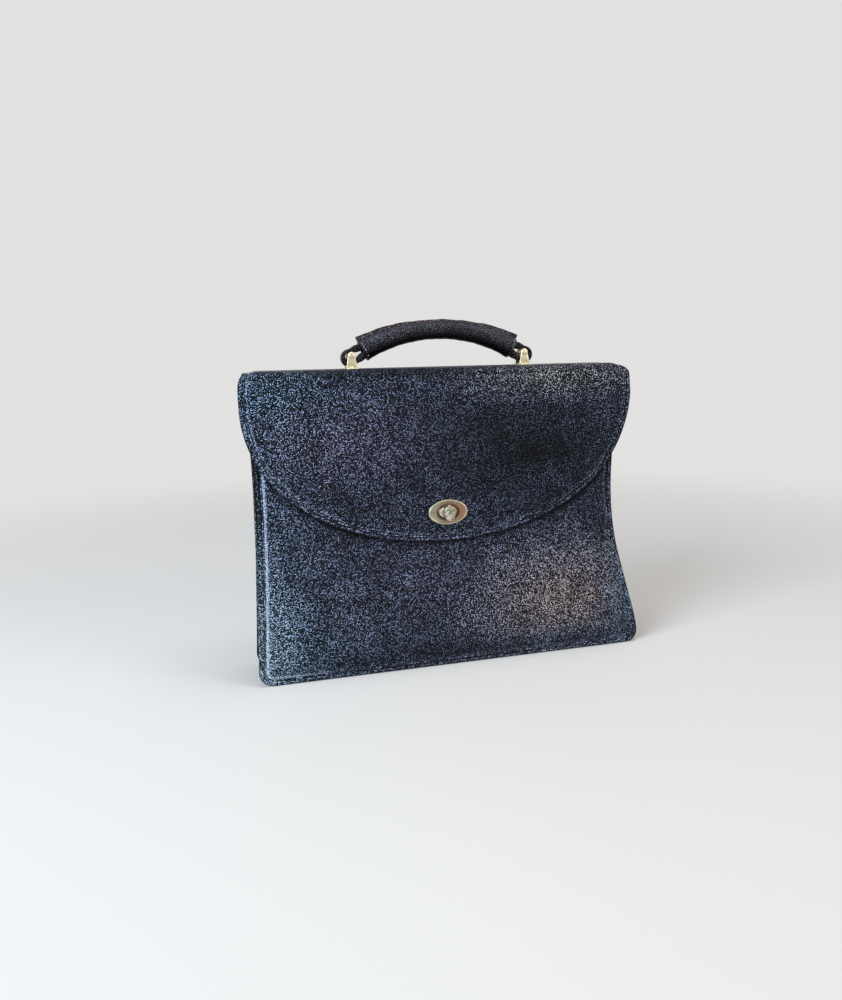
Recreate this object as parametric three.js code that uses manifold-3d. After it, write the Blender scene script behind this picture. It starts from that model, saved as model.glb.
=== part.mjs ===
// A flap bag of black grained leather with a turn lock and a carrying handle.
// Millimetres, +X to the right of someone facing the lock, +Y to the rear, +Z up.
// The origin is on the surface that the bag stands on, under the middle of its handle.
import * as THREE from 'three';
import { mergeVertices } from 'three/addons/utils/BufferGeometryUtils.js';
import Module from 'manifold-3d';

const wasm = await Module();
wasm.setup();

// The bag as a whole.
const halfWidth = 196;
const bagHeight = 302;
const bagDepth = 56;
const foldRadius = 8;
const cornerRadius = 14;
const frontBulge = 5;
const rearBulge = 3;

// What the walls are made of.
const leatherThickness = 2.2;
const boardThickness = 1.6;
const liningThickness = 0.8;
const gussetThickness = 1.2;
const clearance = 0.3;

// Edges of the layers inside the two walls.
const layerInset = 12;
const frontTopDrop = 15;
const boardTopDrop = 8;
const liningTopDrop = 3;

// The gussets fold inward between the two walls.
const rimSetback = 1.5;
const flangeWidth = 7;
const creaseDepthBottom = 7;
const creaseDepthTop = 21;

// The flap: straight sides from the fold to the shoulder, then a half oval down to its tip.
const flapSideLength = 20;
const flapOvalDrop = 140.5;
const flapTipHalfWidth = 14;
const flapLiningInset = 5;
const flapShift = -3.5;

// The turn lock's plate, on the flap, with an eyelet through the leather and a ring behind it.
const lockRise = 29.5;
const slotWidth = 20;
const slotHeight = 14;
const plateSideBorder = 9.75;
const plateEndBorder = 5.25;
const plateThickness = 1.2;
const plateEdge = 0.8;
const eyeletWall = 0.8;
const eyeletLip = 0.5;
const backRingBorder = 5;
const backRingThickness = 0.8;
const backRingGap = 0.5;

// The half of the lock that stays on the front wall.
const slotPlay = 0.8;
const stemRadius = 2.2;
const stemPlay = 0.3;
const shankWall = 1.5;
const shankProud = 0.8;
const washerBorder = 4;
const washerThickness = 1;

// The turning knob.
const knobPlay = 2;
const knobWidth = 11.5;
const knobThickness = 6;
const knobGap = 1;
const knobWasherBorder = 2.8;
const knobWasherThickness = 0.8;
const peenBorder = 1;
const peenThickness = 1;

// The handle's brackets, on top of the bag, with their pins and rivets.
const bracketSpacing = 176;
const footThickness = 1.5;
const footSideRim = 1.6;
const footEndRim = 0.7;
const cheekThickness = 2;
const cheekBase = 10.8;
const cheekTipWall = 1;
const pinRise = 13.5;
const pinRadius = 2;
const pinHeadBorder = 0.9;
const pinHeadThickness = 0.9;
const rivetRadius = 1.3;
const rivetHeadBorder = 1.2;
const rivetHeadThickness = 0.9;
const rivetMargin = 0.5;
const backingThickness = 1.2;

// The handle's loops.
const loopInnerRadius = 5;
const loopThickness = 3.5;
const loopWidth = 10;
const loopOffset = 1.2;
const loopNeck = 6;
const tailInsert = 15;

// The handle's grip.
const gripHalfTurn = THREE.MathUtils.degToRad(27);
const gripMidRadius = 8.4;
const gripEndRadius = 10.4;
const gripSkin = 2;
const finThickness = 3.2;
const finMidHeight = 2;
const finEndHeight = 4;

// Outline of the two walls: half widths on the left and on the right, as shares of halfWidth,
// at even steps from the bottom to the fold. The right side flares out towards the bottom.
const leftShares = [0.993, 0.983, 0.975, 0.968, 0.961, 0.957, 0.954, 0.953, 0.957, 0.967, 0.98];
const rightShares = [1.103, 1.075, 1.03, 0.985, 0.943, 0.918, 0.908, 0.91, 0.92, 0.935, 0.96];

// The flap's half widths between the fold and its shoulder, as shares of halfWidth.
const flapRowShares = [0, 0.5];
const flapLeftShares = [0.992, 0.998];
const flapRightShares = [0.975, 0.99];

// The power of the flap's oval: 2 is an ellipse, and more is squarer.
const flapOvalPower = 2.1;

// Shapes of small pieces, as shares of their own sizes.
const knobBackShare = 0.86;
const knobFrontShare = 0.72;
const knobShoulderShare = 0.25;
const plateFlatShare = 0.5;
const rivetDomeShare = 0.6;

// The width across the two folds, as shares of halfWidth.
const frontFoldShares = { split: 0.972, end: 0.985 };
const rearFoldShares = { split: 0.972, end: 0.98 };

// How finely the curved sheets are divided.
const outerColumns = 12;
const innerColumns = 7;
const foldSplit = Math.PI / 4;
const foldSteps = 2;
const roundSides = 20;
const smallSides = 12;
const ovalSides = 28;
const tipSegments = 4;
const flapOvalSteps = 12;
const handleSteps = 12;
const gripSides = 12;

// Places worked out from the sizes above.
const halfDepth = bagDepth / 2;
const foldHeight = bagHeight - foldRadius;
const flapStandOff = backRingGap + backRingThickness + clearance;
const flapStack = flapStandOff + liningThickness + clearance + leatherThickness;
const frontFoldY = -halfDepth - flapStack + foldRadius;
const rearFoldY = halfDepth - foldRadius;
const topMiddleY = (frontFoldY + rearFoldY) / 2;
const boardDepth = leatherThickness + clearance;
const liningDepth = boardDepth + boardThickness + clearance;
const wallDepth = liningDepth + liningThickness;
const floorHeight = leatherThickness + clearance;
const frontTop = bagHeight - frontTopDrop;
const flapShoulder = foldHeight - flapSideLength;
const lockHeight = flapShoulder - flapOvalDrop + lockRise;
const shankRadius = stemRadius + stemPlay + shankWall;

const black = { color: 0x15171c, roughness: 0.45, metalness: 0 };
const brown = { color: 0x2a2019, roughness: 0.8, metalness: 0 };
const cloth = { color: 0x24262b, roughness: 0.9, metalness: 0 };
const brass = { color: 0xb8a06a, roughness: 0.35, metalness: 1 };
const nickel = { color: 0x8d8472, roughness: 0.4, metalness: 1 };
const steel = { color: 0x8a8a88, roughness: 0.4, metalness: 1 };

function finish(look) {
  return new THREE.MeshStandardMaterial(look);
}

// Solids: a closed geometry becomes a manifold for a cut or a join, and comes back.

function closed(geometry) {
  const bare = geometry.clone();
  bare.deleteAttribute('normal');
  bare.deleteAttribute('uv');
  return mergeVertices(bare);
}

function toSolid(geometry) {
  const merged = closed(geometry);
  const triVerts = new Uint32Array(merged.index.array);
  const vertProperties = new Float32Array(merged.attributes.position.array);
  return new wasm.Manifold(new wasm.Mesh({ numProp: 3, vertProperties, triVerts }));
}

function toGeometry(solid) {
  const mesh = solid.getMesh();
  const geometry = new THREE.BufferGeometry();
  geometry.setAttribute('position', new THREE.BufferAttribute(mesh.vertProperties, 3));
  geometry.setIndex(new THREE.BufferAttribute(mesh.triVerts, 1));
  return geometry;
}

function cut(body, ...tools) {
  return toGeometry(tools.reduce((left, tool) => left.subtract(toSolid(tool)), toSolid(body)));
}

function join(...bodies) {
  return toGeometry(bodies.map(toSolid).reduce((whole, body) => whole.add(body)));
}

// Faces are wound so that they point out: the signed volume says whether they do.
function outward(points, faces) {
  const volume = faces.reduce((sum, [a, b, c]) => {
    const normal = new THREE.Vector3().crossVectors(points[b], points[c]);
    return sum + points[a].dot(normal);
  }, 0);
  const wound = volume < 0 ? faces.map(([a, b, c]) => [a, c, b]) : faces;
  const geometry = new THREE.BufferGeometry().setFromPoints(points);
  geometry.setIndex(wound.flat());
  return geometry;
}

// A sheet with a thickness: rows of points over its outer face, and the same rows over its inner.
function sheet(outerRows, innerRows) {
  const rows = outerRows.length;
  const columns = outerRows[0].length;
  const points = [...outerRows.flat(), ...innerRows.flat()];
  const outer = (row, column) => row * columns + column;
  const inner = (row, column) => rows * columns + row * columns + column;
  const faces = [];
  const quad = (a, b, c, d) => faces.push([a, b, c], [a, c, d]);
  for (let row = 0; row < rows - 1; row += 1) {
    for (let column = 0; column < columns - 1; column += 1) {
      quad(outer(row, column), outer(row, column + 1), outer(row + 1, column + 1), outer(row + 1, column));
      quad(inner(row, column), inner(row + 1, column), inner(row + 1, column + 1), inner(row, column + 1));
    }
    quad(outer(row, 0), outer(row + 1, 0), inner(row + 1, 0), inner(row, 0));
    const last = columns - 1;
    quad(outer(row, last), inner(row, last), inner(row + 1, last), outer(row + 1, last));
  }
  const end = rows - 1;
  for (let column = 0; column < columns - 1; column += 1) {
    quad(outer(0, column), inner(0, column), inner(0, column + 1), outer(0, column + 1));
    quad(outer(end, column), outer(end, column + 1), inner(end, column + 1), inner(end, column));
  }
  return outward(points, faces);
}

// A loft through rings of points: each ring is joined to the next, and the two ends are filled.
function loft(rings, flat) {
  const count = rings[0].length;
  const points = rings.flat();
  const faces = [];
  for (let ring = 0; ring < rings.length - 1; ring += 1) {
    for (let side = 0; side < count; side += 1) {
      const next = (side + 1) % count;
      const low = ring * count;
      const high = low + count;
      faces.push([low + side, low + next, high + next], [low + side, high + next, high + side]);
    }
  }
  const contour = rings[0].map(flat);
  const turn = Math.sign(THREE.ShapeUtils.area(contour));
  const top = (rings.length - 1) * count;
  for (const [a, b, c] of THREE.ShapeUtils.triangulateShape(contour, [])) {
    const same = Math.sign(THREE.ShapeUtils.area([contour[a], contour[b], contour[c]])) === turn;
    const [p, q, r] = same ? [a, b, c] : [a, c, b];
    faces.push([p, r, q], [top + p, top + q, top + r]);
  }
  return outward(points, faces);
}

// Ovals about the lock's own axis, which runs along Y: each level has a place, a width and a height.
function ovalLoft(levels) {
  const rings = levels.map(([y, width, height]) => {
    const ring = [];
    for (let side = 0; side < ovalSides; side += 1) {
      const angle = (side / ovalSides) * 2 * Math.PI;
      const x = Math.cos(angle) * width / 2;
      const z = Math.sin(angle) * height / 2;
      ring.push(new THREE.Vector3(x, y, z));
    }
    return ring;
  });
  return loft(rings, (point) => new THREE.Vector2(point.x, point.z));
}

// A straight round bar along Y between two places.
function bar(radius, fromY, toY) {
  const geometry = new THREE.CylinderGeometry(radius, radius, toY - fromY, roundSides);
  return geometry.translate(0, (fromY + toY) / 2, 0);
}

// Walls: how far a point of the front or the rear stands out, and how wide the outline is there.

function swell(amount, x, z) {
  const across = Math.max(0, 1 - (x / halfWidth) ** 2);
  const up = Math.sin(Math.PI * THREE.MathUtils.clamp(z / foldHeight, 0, 1));
  return amount * across * up;
}

function along(shares, share) {
  const place = THREE.MathUtils.clamp(share, 0, 1) * (shares.length - 1);
  const step = Math.min(Math.floor(place), shares.length - 2);
  return THREE.MathUtils.lerp(shares[step], shares[step + 1], place - step);
}

function cornerInset(z) {
  const rise = Math.min(z, cornerRadius);
  return cornerRadius - Math.sqrt(cornerRadius ** 2 - (cornerRadius - rise) ** 2);
}

function leftEdge(z) {
  return -halfWidth * along(leftShares, z / foldHeight) + cornerInset(z);
}

function rightEdge(z) {
  return halfWidth * along(rightShares, z / foldHeight) - cornerInset(z);
}

// Heights of the rows of a wall, close together round the bottom corners.
function wallHeights(bottom, top) {
  const heights = [bottom];
  for (const turn of [Math.PI / 6, Math.PI / 3, Math.PI / 2]) {
    heights.push(cornerRadius * (1 - Math.cos(turn)));
  }
  for (let step = 1; step < leftShares.length; step += 1) {
    heights.push(foldHeight * step / (leftShares.length - 1));
  }
  return [...heights.filter((height) => height >= bottom && height < top), top];
}

function spread(left, right, columns, place) {
  const row = [];
  for (let column = 0; column <= columns; column += 1) {
    row.push(place(THREE.MathUtils.lerp(left, right, column / columns)));
  }
  return row;
}

function frontPoint(x, z, depth) {
  return new THREE.Vector3(x, -halfDepth - swell(frontBulge, x, z) + depth, z);
}

function rearPoint(x, z, depth) {
  return new THREE.Vector3(x, halfDepth + swell(rearBulge, x, z) - depth, z);
}

// One layer of a wall: its rows at the outer depth and at the inner depth.
function wallLayer(point, depth, thickness, bottom, top, inset) {
  const columns = inset > 0 ? innerColumns : outerColumns;
  const face = (layerDepth) => wallHeights(bottom, top).map((z) => {
    const place = (x) => point(x, z, layerDepth);
    return spread(leftEdge(z) + inset, rightEdge(z) - inset, columns, place);
  });
  return sheet(face(depth), face(depth + thickness));
}

// A hole through the front wall for the lock's shank.
function shankHole() {
  const reach = halfDepth + frontBulge + wallDepth;
  return bar(shankRadius + clearance, -reach, -halfDepth + wallDepth).translate(flapShift, 0, lockHeight);
}

function makeFrontWall() {
  const outer = wallLayer(frontPoint, 0, leatherThickness, 0, frontTop, 0);
  const board = wallLayer(
    frontPoint, boardDepth, boardThickness, floorHeight, frontTop - boardTopDrop, layerInset);
  const lining = wallLayer(
    frontPoint, liningDepth, liningThickness, floorHeight, frontTop - liningTopDrop, layerInset);
  return {
    front_panel: [cut(outer, shankHole()), black],
    front_board: [cut(board, shankHole()), brown],
    front_lining: [cut(lining, shankHole()), cloth],
  };
}

// The rear wall turns over the rear fold as far as the split, where the top takes over.
function makeRearWall() {
  const gapTurn = clearance / 2 / foldRadius;
  const rows = (depth) => {
    const list = [];
    for (let step = 0; step < foldSteps; step += 1) {
      const share = step / foldSteps;
      const turn = THREE.MathUtils.lerp(foldSplit + gapTurn, Math.PI / 2, share);
      const reach = foldRadius - depth;
      const width = halfWidth * THREE.MathUtils.lerp(rearFoldShares.split, rearFoldShares.end, share);
      const y = rearFoldY + reach * Math.sin(turn);
      const z = foldHeight + reach * Math.cos(turn);
      list.push(spread(-width, width, outerColumns, (x) => new THREE.Vector3(x, y, z)));
    }
    for (const z of wallHeights(0, foldHeight).reverse()) {
      const right = z === foldHeight ? halfWidth * rearFoldShares.end : rightEdge(z);
      list.push(spread(leftEdge(z), right, outerColumns, (x) => rearPoint(x, z, depth)));
    }
    return list;
  };
  const boardTop = frontTop - boardTopDrop;
  const liningTop = frontTop - liningTopDrop;
  const board = wallLayer(rearPoint, boardDepth, boardThickness, floorHeight, boardTop, layerInset);
  const lining = wallLayer(rearPoint, liningDepth, liningThickness, floorHeight, liningTop, layerInset);
  return {
    rear_panel: [sheet(rows(0), rows(leatherThickness)), black],
    rear_board: [board, brown],
    rear_lining: [lining, cloth],
  };
}

// A gusset is a strip sewn behind both rims and creased inward. Its section is a line through
// five corners, given a thickness, and changes with the height.
function ribbon(corners, thickness) {
  const offset = (side) => corners.map((corner, index) => {
    const before = corners[Math.max(index - 1, 0)];
    const after = corners[Math.min(index + 1, corners.length - 1)];
    const into = new THREE.Vector2().subVectors(corner, before).normalize();
    const out = new THREE.Vector2().subVectors(after, corner).normalize();
    const first = index === 0 ? out : into;
    const second = index === corners.length - 1 ? into : out;
    const middle = new THREE.Vector2().addVectors(first, second).normalize();
    const reach = side * thickness / 2 / middle.dot(first);
    return new THREE.Vector2(corner.x - middle.y * reach, corner.y + middle.x * reach);
  });
  return [...offset(1), ...offset(-1).reverse()];
}

function creaseReach(z) {
  const depth = THREE.MathUtils.lerp(creaseDepthBottom, creaseDepthTop, z / frontTop);
  return rimSetback + flangeWidth + depth;
}

function makeGusset(edge, inward) {
  const flangeY = halfDepth - leatherThickness - clearance - gussetThickness / 2;
  const rings = wallHeights(floorHeight, frontTop - liningTopDrop).map((z) => {
    const rim = edge(z) + inward * rimSetback;
    const bend = rim + inward * flangeWidth;
    const crease = edge(z) + inward * creaseReach(z);
    const lean = (amount, x) => swell(amount, x, z);
    const corners = [
      new THREE.Vector2(rim, -flangeY - lean(frontBulge, rim)),
      new THREE.Vector2(bend, -flangeY - lean(frontBulge, bend)),
      new THREE.Vector2(crease, 0),
      new THREE.Vector2(bend, flangeY + lean(rearBulge, bend)),
      new THREE.Vector2(rim, flangeY + lean(rearBulge, rim)),
    ];
    return ribbon(corners, gussetThickness).map((point) => new THREE.Vector3(point.x, point.y, z));
  });
  return loft(rings, (point) => new THREE.Vector2(point.x, point.y));
}

// The base lies between the two walls, under the gussets, with its board and lining on it.
function makeBase() {
  const slab = (halfSpan, left, right, low, high) => {
    const box = new THREE.BoxGeometry(right - left, 2 * halfSpan, high - low);
    return box.translate((left + right) / 2, 0, (low + high) / 2);
  };
  const outerSpan = halfDepth - leatherThickness - clearance;
  const innerSpan = halfDepth - wallDepth - clearance;
  const endReach = creaseReach(floorHeight) + gussetThickness + clearance;
  const left = leftEdge(floorHeight) + endReach;
  const right = rightEdge(floorHeight) - endReach;
  const boardTop = floorHeight + boardThickness;
  const liningLow = boardTop + clearance;
  const liningTop = liningLow + liningThickness;
  return {
    base_panel: [slab(outerSpan, leftEdge(0), rightEdge(0), 0, leatherThickness), black],
    base_board: [slab(innerSpan, left, right, floorHeight, boardTop), brown],
    base_lining: [slab(innerSpan, left, right, liningLow, liningTop), cloth],
  };
}

// The top runs from the split of the front fold to the split of the rear fold.
function makeTop() {
  const gapTurn = clearance / 2 / foldRadius;
  const rows = (depth) => {
    const reach = foldRadius - depth;
    const list = [];
    const arc = (middleY, side, share) => {
      const turn = share * (foldSplit - gapTurn);
      const width = halfWidth * THREE.MathUtils.lerp(rearFoldShares.end, rearFoldShares.split, share);
      const y = middleY + side * reach * Math.sin(turn);
      const z = foldHeight + reach * Math.cos(turn);
      list.push(spread(-width, width, outerColumns, (x) => new THREE.Vector3(x, y, z)));
    };
    for (let step = foldSteps; step >= 0; step -= 1) {
      arc(frontFoldY, -1, step / foldSteps);
    }
    for (let step = 0; step <= foldSteps; step += 1) {
      arc(rearFoldY, 1, step / foldSteps);
    }
    return list;
  };
  const flatLayer = (depth, thickness) => {
    const width = 2 * (halfWidth * frontFoldShares.split - layerInset);
    const box = new THREE.BoxGeometry(width, rearFoldY - frontFoldY, thickness);
    return box.translate(0, topMiddleY, bagHeight - depth - thickness / 2);
  };
  const holes = rivetPlaces().map(rivetHole);
  return {
    top_panel: [cut(sheet(rows(0), rows(leatherThickness)), ...holes), black],
    top_board: [cut(flatLayer(boardDepth, boardThickness), ...holes), brown],
    top_lining: [cut(flatLayer(liningDepth, liningThickness), ...holes), cloth],
  };
}

// The flap: round the front fold, down to its shoulder, and a half oval below.
function flapRows(depth, inset) {
  const gapTurn = clearance / 2 / foldRadius;
  const reach = foldRadius - depth;
  const outerY = -halfDepth - flapStack;
  const columns = inset > 0 ? innerColumns : outerColumns;
  const rows = [];
  for (let step = 0; step < foldSteps; step += 1) {
    const share = step / foldSteps;
    const turn = THREE.MathUtils.lerp(foldSplit + gapTurn, Math.PI / 2, share);
    const width = halfWidth * THREE.MathUtils.lerp(frontFoldShares.split, frontFoldShares.end, share);
    const y = frontFoldY - reach * Math.sin(turn);
    const z = foldHeight + reach * Math.cos(turn);
    rows.push(spread(-width + inset, width - inset, columns, (x) => new THREE.Vector3(x, y, z)));
  }
  const hang = (left, right, z) => {
    const place = (x) => new THREE.Vector3(x, outerY - swell(frontBulge, x, z) + depth, z);
    rows.push(spread(left + inset, right - inset, columns, place));
  };
  flapRowShares.forEach((share, index) => {
    const z = THREE.MathUtils.lerp(foldHeight, flapShoulder, share);
    hang(-halfWidth * flapLeftShares[index], halfWidth * flapRightShares[index], z);
  });
  const bend = 2 / flapOvalPower;
  const steepest = Math.acos(((flapTipHalfWidth + inset) / halfWidth) ** (1 / bend));
  for (let step = 0; step <= flapOvalSteps; step += 1) {
    const turn = steepest * step / flapOvalSteps;
    const width = halfWidth * Math.cos(turn) ** bend;
    const drop = Math.sin(turn) ** bend;
    const middle = flapShift * drop;
    hang(middle - width, middle + width, flapShoulder - (flapOvalDrop - inset) * drop);
  }
  return rows;
}

function makeFlap() {
  const liningOut = leatherThickness + clearance;
  const leather = sheet(flapRows(0, 0), flapRows(leatherThickness, 0));
  const lining = sheet(
    flapRows(liningOut, flapLiningInset), flapRows(liningOut + liningThickness, flapLiningInset));
  const grow = 2 * (eyeletWall + clearance);
  const reach = halfDepth + flapStack + 2 * frontBulge;
  const hole = () => ovalLoft([
    [-reach, slotWidth + grow, slotHeight + grow],
    [-halfDepth, slotWidth + grow, slotHeight + grow],
  ]).translate(flapShift, 0, lockHeight);
  return {
    flap_panel: [cut(leather, hole()), black],
    flap_lining: [cut(lining, hole()), cloth],
  };
}

// The lock is drawn about its own axis: y counts from the front wall's outer face, negative
// outward, and the whole lock is then put in its place.
const lockFaceY = -halfDepth - swell(frontBulge, flapShift, lockHeight);
const plateBackY = -flapStack - clearance;
const plateFrontY = plateBackY - plateThickness;
const ringBackY = -flapStandOff + clearance + backRingThickness;
const washerY = wallDepth + clearance;
const shankEndY = washerY + washerThickness + shankProud;

function atLock(geometry) {
  return geometry.translate(flapShift, lockFaceY, lockHeight);
}

// An oval bar along the lock's axis, larger than the slot by a border all round.
function slotBar(border, fromY, toY) {
  const width = slotWidth + 2 * border;
  const height = slotHeight + 2 * border;
  return ovalLoft([[fromY, width, height], [toY, width, height]]);
}

function makeLockPlate() {
  const width = slotWidth + 2 * plateSideBorder;
  const height = slotHeight + 2 * plateEndBorder;
  const plate = ovalLoft([
    [plateBackY, width, height],
    [plateBackY - plateThickness * plateFlatShare, width, height],
    [plateFrontY, width - 2 * plateEdge, height - 2 * plateEdge],
  ]);
  const eyelet = slotBar(eyeletWall, ringBackY, plateFrontY - eyeletLip);
  const slot = slotBar(0, plateFrontY - plateThickness, plateThickness);
  const ring = slotBar(eyeletWall + backRingBorder, ringBackY - backRingThickness, ringBackY);
  const ringHole = slotBar(eyeletWall + clearance, -flapStack, plateThickness);
  return {
    lock_plate: [atLock(cut(join(plate, eyelet), slot)), nickel],
    lock_plate_back: [atLock(cut(ring, ringHole)), steel],
  };
}

function makeLockBase() {
  const boss = slotBar(-slotPlay, -clearance, plateFrontY);
  const shank = bar(shankRadius, plateFrontY, shankEndY);
  const bore = bar(stemRadius + stemPlay, plateFrontY - knobGap, shankEndY + washerThickness);
  const washer = bar(shankRadius + washerBorder, washerY, washerY + washerThickness);
  const washerBore = bar(shankRadius + clearance, washerY - washerThickness, shankEndY);
  return {
    lock_base: [atLock(cut(join(boss, shank), bore)), nickel],
    lock_back_washer: [atLock(cut(washer, washerBore)), steel],
  };
}

// The knob stands upright when the lock is shut, and lies across the slot when it is open.
function makeKnob() {
  const length = slotWidth - 2 * knobPlay;
  const back = plateFrontY - eyeletLip - knobGap;
  const front = back - knobThickness;
  const shoulder = knobThickness * knobShoulderShare;
  const disc = shankEndY + clearance;
  const discEnd = disc + knobWasherThickness;
  const peen = discEnd + clearance;
  const head = ovalLoft([
    [back, knobWidth * knobBackShare, length * knobBackShare],
    [back - shoulder, knobWidth, length],
    [front + shoulder, knobWidth, length],
    [front, knobWidth * knobFrontShare, length * knobFrontShare],
  ]);
  const stem = bar(stemRadius, back - shoulder, peen + peenThickness);
  const end = bar(stemRadius + peenBorder, peen, peen + peenThickness);
  const washer = bar(stemRadius + knobWasherBorder, disc, discEnd);
  const washerBore = bar(stemRadius + stemPlay, disc - clearance, peen);
  return {
    turn_knob: [atLock(join(head, stem, end)), nickel],
    knob_washer: [atLock(cut(washer, washerBore)), steel],
  };
}

// The brackets: a foot on the leather, and two tapered cheeks that hold the pin between them.
const footTop = bagHeight + clearance + footThickness;
const pinHeight = bagHeight + pinRise;
const cheekInnerY = loopWidth / 2 + clearance;
const cheekOuterY = cheekInnerY + cheekThickness;
const cheekTipRadius = pinRadius + clearance + cheekTipWall;
const rivetHeadRadius = rivetRadius + rivetHeadBorder;
const rivetOffset = cheekOuterY + rivetMargin + rivetHeadRadius;
const footLength = cheekBase + 2 * footSideRim;
const footDepth = 2 * (rivetOffset + rivetHeadRadius + footEndRim);
const backingLow = bagHeight - wallDepth - clearance - backingThickness;
const bracketX = bracketSpacing / 2;

function rivetPlaces() {
  const places = [];
  for (const x of [-bracketX, bracketX]) {
    for (const side of [-1, 1]) {
      places.push([x, topMiddleY + side * rivetOffset]);
    }
  }
  return places;
}

function rivetHole([x, y]) {
  const bore = rivetRadius + clearance;
  const hole = new THREE.CylinderGeometry(bore, bore, 2 * footDepth, smallSides);
  return hole.rotateX(Math.PI / 2).translate(x, y, bagHeight);
}

function makeBracket(x) {
  const foot = new THREE.BoxGeometry(footLength, footDepth, footThickness);
  const low = footTop - footThickness / 2;
  foot.translate(0, 0, low);
  const outline = new THREE.Shape();
  outline.moveTo(-cheekBase / 2, low);
  outline.lineTo(cheekBase / 2, low);
  outline.lineTo(cheekTipRadius, pinHeight);
  outline.absarc(0, pinHeight, cheekTipRadius, 0, Math.PI, false);
  const cheeks = [-cheekInnerY, cheekOuterY].map((nearY) => {
    const settings = { depth: cheekThickness, bevelEnabled: false, curveSegments: tipSegments };
    const cheek = new THREE.ExtrudeGeometry(outline, settings);
    return cheek.rotateX(Math.PI / 2).translate(0, nearY, 0);
  });
  const pinBore = new THREE.CylinderGeometry(
    pinRadius + clearance, pinRadius + clearance, footDepth, smallSides);
  const body = join(foot, ...cheeks).translate(x, topMiddleY, 0);
  return cut(body, pinBore.translate(x, topMiddleY, pinHeight), ...rivetPlaces().map(rivetHole));
}

function turned(profile) {
  return new THREE.LatheGeometry(profile.map(([radius, y]) => new THREE.Vector2(radius, y)), smallSides);
}

function makePin(x) {
  const end = cheekOuterY + clearance;
  const tip = end + pinHeadThickness;
  const headRadius = pinRadius + pinHeadBorder;
  const pin = turned([
    [0, -tip], [headRadius, -tip], [headRadius, -end], [pinRadius, -end],
    [pinRadius, end], [headRadius, end], [headRadius, tip], [0, tip],
  ]);
  return pin.translate(x, topMiddleY, pinHeight);
}

function makeRivet([x, y]) {
  const head = footTop + clearance;
  const end = backingLow - clearance;
  const rivet = turned([
    [0, end - rivetHeadThickness], [rivetHeadRadius, end - rivetHeadThickness],
    [rivetHeadRadius, end], [rivetRadius, end], [rivetRadius, head], [rivetHeadRadius, head],
    [rivetHeadRadius * rivetDomeShare, head + rivetHeadThickness], [0, head + rivetHeadThickness],
  ]);
  return rivet.rotateX(Math.PI / 2).translate(x, y, 0);
}

function makeBacking(x) {
  const plate = new THREE.BoxGeometry(footLength, footDepth, backingThickness);
  plate.translate(x, topMiddleY, backingLow + backingThickness / 2);
  return cut(plate, ...rivetPlaces().map(rivetHole));
}

function makeBrackets() {
  const pieces = {};
  for (const [side, x] of [['left', -bracketX], ['right', bracketX]]) {
    pieces[`${side}_bracket`] = [makeBracket(x), brass];
    pieces[`${side}_pin`] = [makePin(x), brass];
    pieces[`${side}_backing_plate`] = [makeBacking(x), steel];
  }
  rivetPlaces().forEach((place, index) => {
    pieces[`bracket_rivet_${index + 1}`] = [makeRivet(place), brass];
  });
  return pieces;
}

// The handle hangs from its pins by two leather loops. Each loop's eye is larger than its pin, so
// that the handle can be lifted a little. At rest the top of the eye sits on the pin.
const eyeSlack = Math.sqrt((loopInnerRadius - pinRadius) ** 2 - loopOffset ** 2) - clearance;
const eyeX = bracketX + loopOffset;
const eyeZ = pinHeight - eyeSlack;
const loopReach = loopInnerRadius + loopThickness + loopNeck;
const arcRadius = (eyeX - loopReach * Math.cos(gripHalfTurn)) / Math.sin(gripHalfTurn);
const arcMiddleZ = eyeZ + loopReach * Math.sin(gripHalfTurn) - arcRadius * Math.cos(gripHalfTurn);

// The strap of a loop goes round the eye and both its ends run into the grip, one on the other.
function makeLoop(side) {
  const outer = bar(loopInnerRadius + loopThickness, -loopWidth / 2, loopWidth / 2);
  const eye = bar(loopInnerRadius, -loopWidth, loopWidth);
  const length = loopReach + tailInsert;
  const tail = new THREE.BoxGeometry(length, loopWidth, 2 * loopThickness);
  tail.translate(-length / 2, 0, 0).rotateY(gripHalfTurn);
  const loop = cut(join(outer, tail), eye);
  if (side < 0) {
    loop.rotateZ(Math.PI);
  }
  return loop.translate(side * eyeX, topMiddleY, eyeZ);
}

// A section of the handle, square to its arc: each point is a step sideways and a step up.
function handleRing(turn, section) {
  return section.map(([sideways, up]) => {
    const reach = arcRadius + up;
    const x = reach * Math.sin(turn);
    const z = arcMiddleZ + reach * Math.cos(turn);
    return new THREE.Vector3(x, topMiddleY + sideways, z);
  });
}

function roundSection(radius) {
  const section = [];
  for (let side = 0; side < gripSides; side += 1) {
    const angle = (side + 0.5) / gripSides * 2 * Math.PI;
    section.push([radius * Math.sin(angle), radius * Math.cos(angle)]);
  }
  return section;
}

// The grip's leather is wrapped round and sewn along its top, which leaves a square-ended fin.
function gripSection(radius, finHeight) {
  const half = finThickness / 2;
  const base = Math.asin(half / radius);
  const section = [];
  for (let side = 0; side <= gripSides; side += 1) {
    const angle = THREE.MathUtils.lerp(base, 2 * Math.PI - base, side / gripSides);
    section.push([radius * Math.sin(angle), radius * Math.cos(angle)]);
  }
  const top = radius + finHeight;
  section.push([-half, top], [half, top]);
  return section;
}

function gripRadius(share) {
  return THREE.MathUtils.lerp(gripMidRadius, gripEndRadius, share ** 2);
}

function sweep(halfTurn, section) {
  const rings = [];
  for (let step = 0; step <= handleSteps; step += 1) {
    const turn = THREE.MathUtils.lerp(-halfTurn, halfTurn, step / handleSteps);
    rings.push(handleRing(turn, section(Math.abs(turn) / gripHalfTurn)));
  }
  return loft(rings, (point) => new THREE.Vector2(point.y, point.z));
}

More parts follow.
